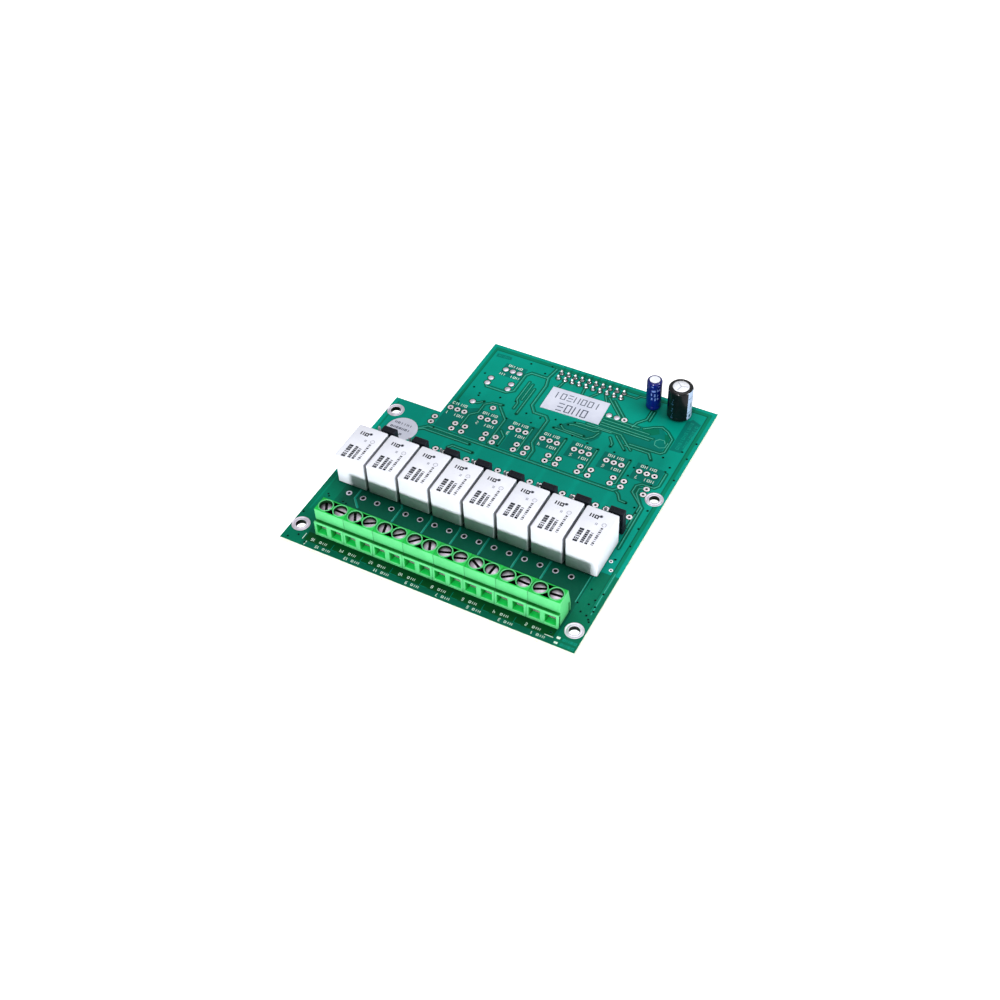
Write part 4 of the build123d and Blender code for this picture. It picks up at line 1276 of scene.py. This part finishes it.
# plain stroke digits, each as lines on a grid 2 wide and 4 high
strokes = {
    "0": [[(0, 0), (2, 0), (2, 4), (0, 4), (0, 0)]], "1": [[(0.4, 3.2), (1.2, 4), (1.2, 0)]],
    "2": [[(0, 4), (2, 4), (2, 2), (0, 2), (0, 0), (2, 0)]],
    "3": [[(0, 4), (2, 4), (2, 0), (0, 0)], [(0.5, 2), (2, 2)]],
    "4": [[(0, 4), (0, 2), (2, 2)], [(2, 4), (2, 0)]], "5": [[(2, 4), (0, 4), (0, 2), (2, 2), (2, 0), (0, 0)]],
    "6": [[(2, 4), (0, 4), (0, 0), (2, 0), (2, 2), (0, 2)]], "7": [[(0, 4), (2, 4), (0.8, 0)]],
    "8": [[(0, 0), (2, 0), (2, 4), (0, 4), (0, 0)], [(0, 2), (2, 2)]],
    "9": [[(0, 0), (2, 0), (2, 4), (0, 4), (0, 2), (2, 2)]],
}


def addNumber(bm, number, x, y, size, width=0.16):
    # plain stroke digits that read from behind the board
    for position, digit in enumerate(str(number)):
        for stroke in strokes[digit]:
            points = [(x - (px + position * 3.0) * size / 4, y - py * size / 4) for px, py in stroke]
            for part in zip(points, points[1:]):
                addPrism(bm, ribbonOutline(list(part), width), 0.0, layer["print"])


# Each row gives x, y, its shapes, their width, the gap between them, their height and their weight.
word = ["frame", "bar", "pair"]
boardPrint = {
    "first": 8.9, "pitch": 10.2,
    "poles": [(16, 1.6, 3.75, 0.95, (3.3, 2.85, word, 0.68, 0.22, 0.85, 0.15)),
              (15, 4.2, 1.75, 0.9, (5.5, 0.95, word, 0.7, 0.24, 0.8, 0.15))],
    "corner": (7.9, 2.3, 2.0, 2.4, 0.12, 0.1),
    "lines": [((6.65, 4.6), (6.65, 2.4), 0.2), ((8.4, 2.0), (8.3, 0.6), 0.22), ((87.9, 2.45), (90.4, 2.45), 0.22)],
    "blocks": [(91.4, 92.5, 0.8, 0.7), (91.4, 92.5, 2.6, 0.8)],
    "besideBlocks": [(93.3, y, ["frame", "pair", "steps", "frame"], 0.85, 0.28, 0.9, 0.24) for y in (0.7, 2.5)],
    "above": [(-1.75, 74.0, ["frame", "pair"], 0.95, 0.3, 1.15, 0.26),
              (1.35, 74.0, ["pair", "frame"], 0.95, 0.3, 1.15, 0.26)],
    "number": (-1.0, 70.1, 1.15, 0.24),
    "below": (1.2, 69.0, ["bar", "frame", "pair"], 0.95, 0.28, 1.15, 0.24),
    "loose": [(28.78 + dx, y, kinds, 0.95, 0.25, 1.0, 0.23) for dx, y, kinds in (
        (-2.6, 98.3, ["frame", "pair"]), (0.4, 98.2, ["pair", "frame"]), (-3.6, 93.5, ["pair", "bar"]),
        (0.2, 93.5, ["bar", "frame", "pair"]))],
    "columns": [(91.9, 86.0, 11), (93.8, 87.5, 9)], "columnKinds": ["frame", "pair", "steps", "bar"],
    "last": (20.6, 101.6, ["frame", "pair", "frame", "pair"], 0.8, 0.3, 0.8, 0.22),
}


def makePrint():
    bm, dim = bmesh.new(), bmesh.new()
    level = layer["print"]
    p = boardPrint
    for k in range(terminal["blocks"]):
        left = p["first"] + k * p["pitch"]
        for number, x, y, size, (rowX, *row) in p["poles"]:
            addNumber(bm, number - 2 * k, left + x, y, size)
            addRow(bm, left + rowX, *row, 0.0, level)
        if k < terminal["blocks"] - 1:
            dx, y, rise, run, upright, flat = p["corner"]
            edge = left + dx
            addPrism(dim, ribbonOutline([(edge, y), (edge, y + rise)], upright), 0.0, level)
            addPrism(dim, ribbonOutline([(edge, y), (edge + run, y)], flat), 0.0, level + 0.001)
    for start, end, width in p["lines"]:
        addPrism(bm, ribbonOutline([start, end], width), 0.0, level)
    for left, right, y, depth in p["blocks"]:
        addPrism(bm, [(left, y), (right, y), (right, y + depth), (left, y + depth)], 0.0, level)
    for row in p["besideBlocks"]:
        addRow(dim, *row, 0.0, level)
    for k in range(spareRelays["count"]):
        middle = spareRelays["first"] + k * spareRelays["pitch"]
        for dx, *row in p["above"]:
            addRow(bm, middle + dx, *row, 0.0, level)
        dx, *number = p["number"]
        addNumber(bm, k + 1, middle + dx, *number)
        dx, *row = p["below"]
        addRow(bm, middle + dx, *row, 0.0, level)
    for row in p["loose"]:
        addRow(bm, *row, 0.0, level)
    for x, y, count in p["columns"]:
        kinds = [p["columnKinds"][i % 4] for i in range(count)]
        addRow(dim, x, y, kinds, 0.95, 0.3, 1.1, 0.26, 0.0, level, Vector((0, 1)), Vector((1, 0)))
    addRow(dim, *p["last"], 0.0, level)
    makePiece("board_print", bm, ["whiteInk"], sharp=0)
    makePiece("board_dim_print", dim, ["trace"], sharp=0)


makePrint()
print("print made")

stage = {"floorSize": 3.0, "floorGap": 0.00005, "floorColor": (0.92, 0.92, 0.93, 1), "floorRoughness": 0.9,
         "floorSpecular": 0.1, "glow": 0.75, "reach": 1.4, "world": 0.12, "mirrored": 0.6,
         "key": {"aside": 0.04, "height": 16.5, "power": 24, "size": (0.13, 0.11)},
         "side": {"height": 18, "power": 18, "size": (0.5, 0.3)},
         "top": {"place": (0.1, 0.25, 1.3), "power": 11, "size": (1.4, 1.4)}}
white = (1, 1, 1, 1)
view = {"right": (0.88297699, 0.46809743, -0.03516290), "down": (0.32037815, -0.65569031, -0.68368710),
        "ahead": (-0.34308815, 0.59241456, -0.72892765), "place": (0.144067, -0.235059, 0.299680), "lens": 48.10,
        "sensor": 36, "near": 0.01, "far": 20}


def makeStage():
    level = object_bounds()[0].z - stage["floorGap"]
    bm = bmesh.new()
    corners = boxPoints(0, 0, stage["floorSize"], stage["floorSize"])
    bm.faces.new([bm.verts.new((x, y, level)) for x, y in corners])
    floor = newObject("floor", newMesh("floor", bm))
    material = bpy.data.materials.new("paleFloor")
    material.use_nodes = True
    tree = material.node_tree
    shader = tree.nodes["Principled BSDF"]
    shader.inputs["Base Color"].default_value = stage["floorColor"]
    shader.inputs["Roughness"].default_value = stage["floorRoughness"]
    shader.inputs["Specular IOR Level"].default_value = stage["floorSpecular"]
    shader.inputs["Emission Color"].default_value = white
    rays = addNode(tree, "ShaderNodeLightPath")
    share = addNode(tree, "ShaderNodeMath", {1: stage["glow"]}, operation="MULTIPLY")
    wire(tree, (rays, "Is Camera Ray", share, 0), (share, 0, shader, "Emission Strength"))
    floor.data.materials.append(material)


def addLamp(name, place, lampValues):
    # a soft panel that faces the middle of the part
    lamp = bpy.data.lights.new(name, "AREA")
    lamp.energy = lampValues["power"]
    lamp.shape = "RECTANGLE"
    lamp.size, lamp.size_y = lampValues["size"]
    holder = newObject(name, lamp)
    holder.location = place
    holder.rotation_euler = (Vector() - Vector(place)).to_track_quat("-Z", "Y").to_euler()


def makeLight():
    key, side, top, reach = stage["key"], stage["side"], stage["top"], stage["reach"]
    rise = math.radians(key["height"])
    addLamp("frontKey", (key["aside"], -reach * math.cos(rise), reach * math.sin(rise)), key)
    rise = math.radians(side["height"])
    addLamp("rightSide", (reach * math.cos(rise), 0.0, reach * math.sin(rise)), side)
    addLamp("topSoft", top["place"], top)
    world = bpy.data.worlds.new("studio")
    bpy.context.scene.world = world
    world.use_nodes = True
    tree = world.node_tree
    rays = addNode(tree, "ShaderNodeLightPath")
    dim, bright = ((stage[name],) * 3 + (1,) for name in ("world", "mirrored"))
    mirrored = addNode(tree, "ShaderNodeMix", {"A": dim, "B": bright}, data_type="RGBA")
    seen = addNode(tree, "ShaderNodeMix", {"B": white}, data_type="RGBA")
    wire(tree, (rays, "Is Glossy Ray", mirrored, "Factor"), (mirrored, "Result", seen, "A"),
         (rays, "Is Camera Ray", seen, "Factor"), (seen, "Result", tree.nodes["Background"], "Color"))


def makeCamera():
    camera = bpy.data.cameras.new("camera")
    camera.sensor_width, camera.lens = view["sensor"], view["lens"]
    camera.clip_start, camera.clip_end = view["near"], view["far"]
    camera.dof.use_dof = False
    holder = newObject("camera", camera)
    turn = Matrix((Vector(view["right"]), -Vector(view["down"]), -Vector(view["ahead"]))).transposed()
    holder.matrix_world = Matrix.Translation(view["place"]) @ turn.to_4x4()
    bpy.context.scene.camera = holder


makeStage()
makeLight()
makeCamera()
bpy.context.scene.view_settings.view_transform = "Standard"
print("stage made")
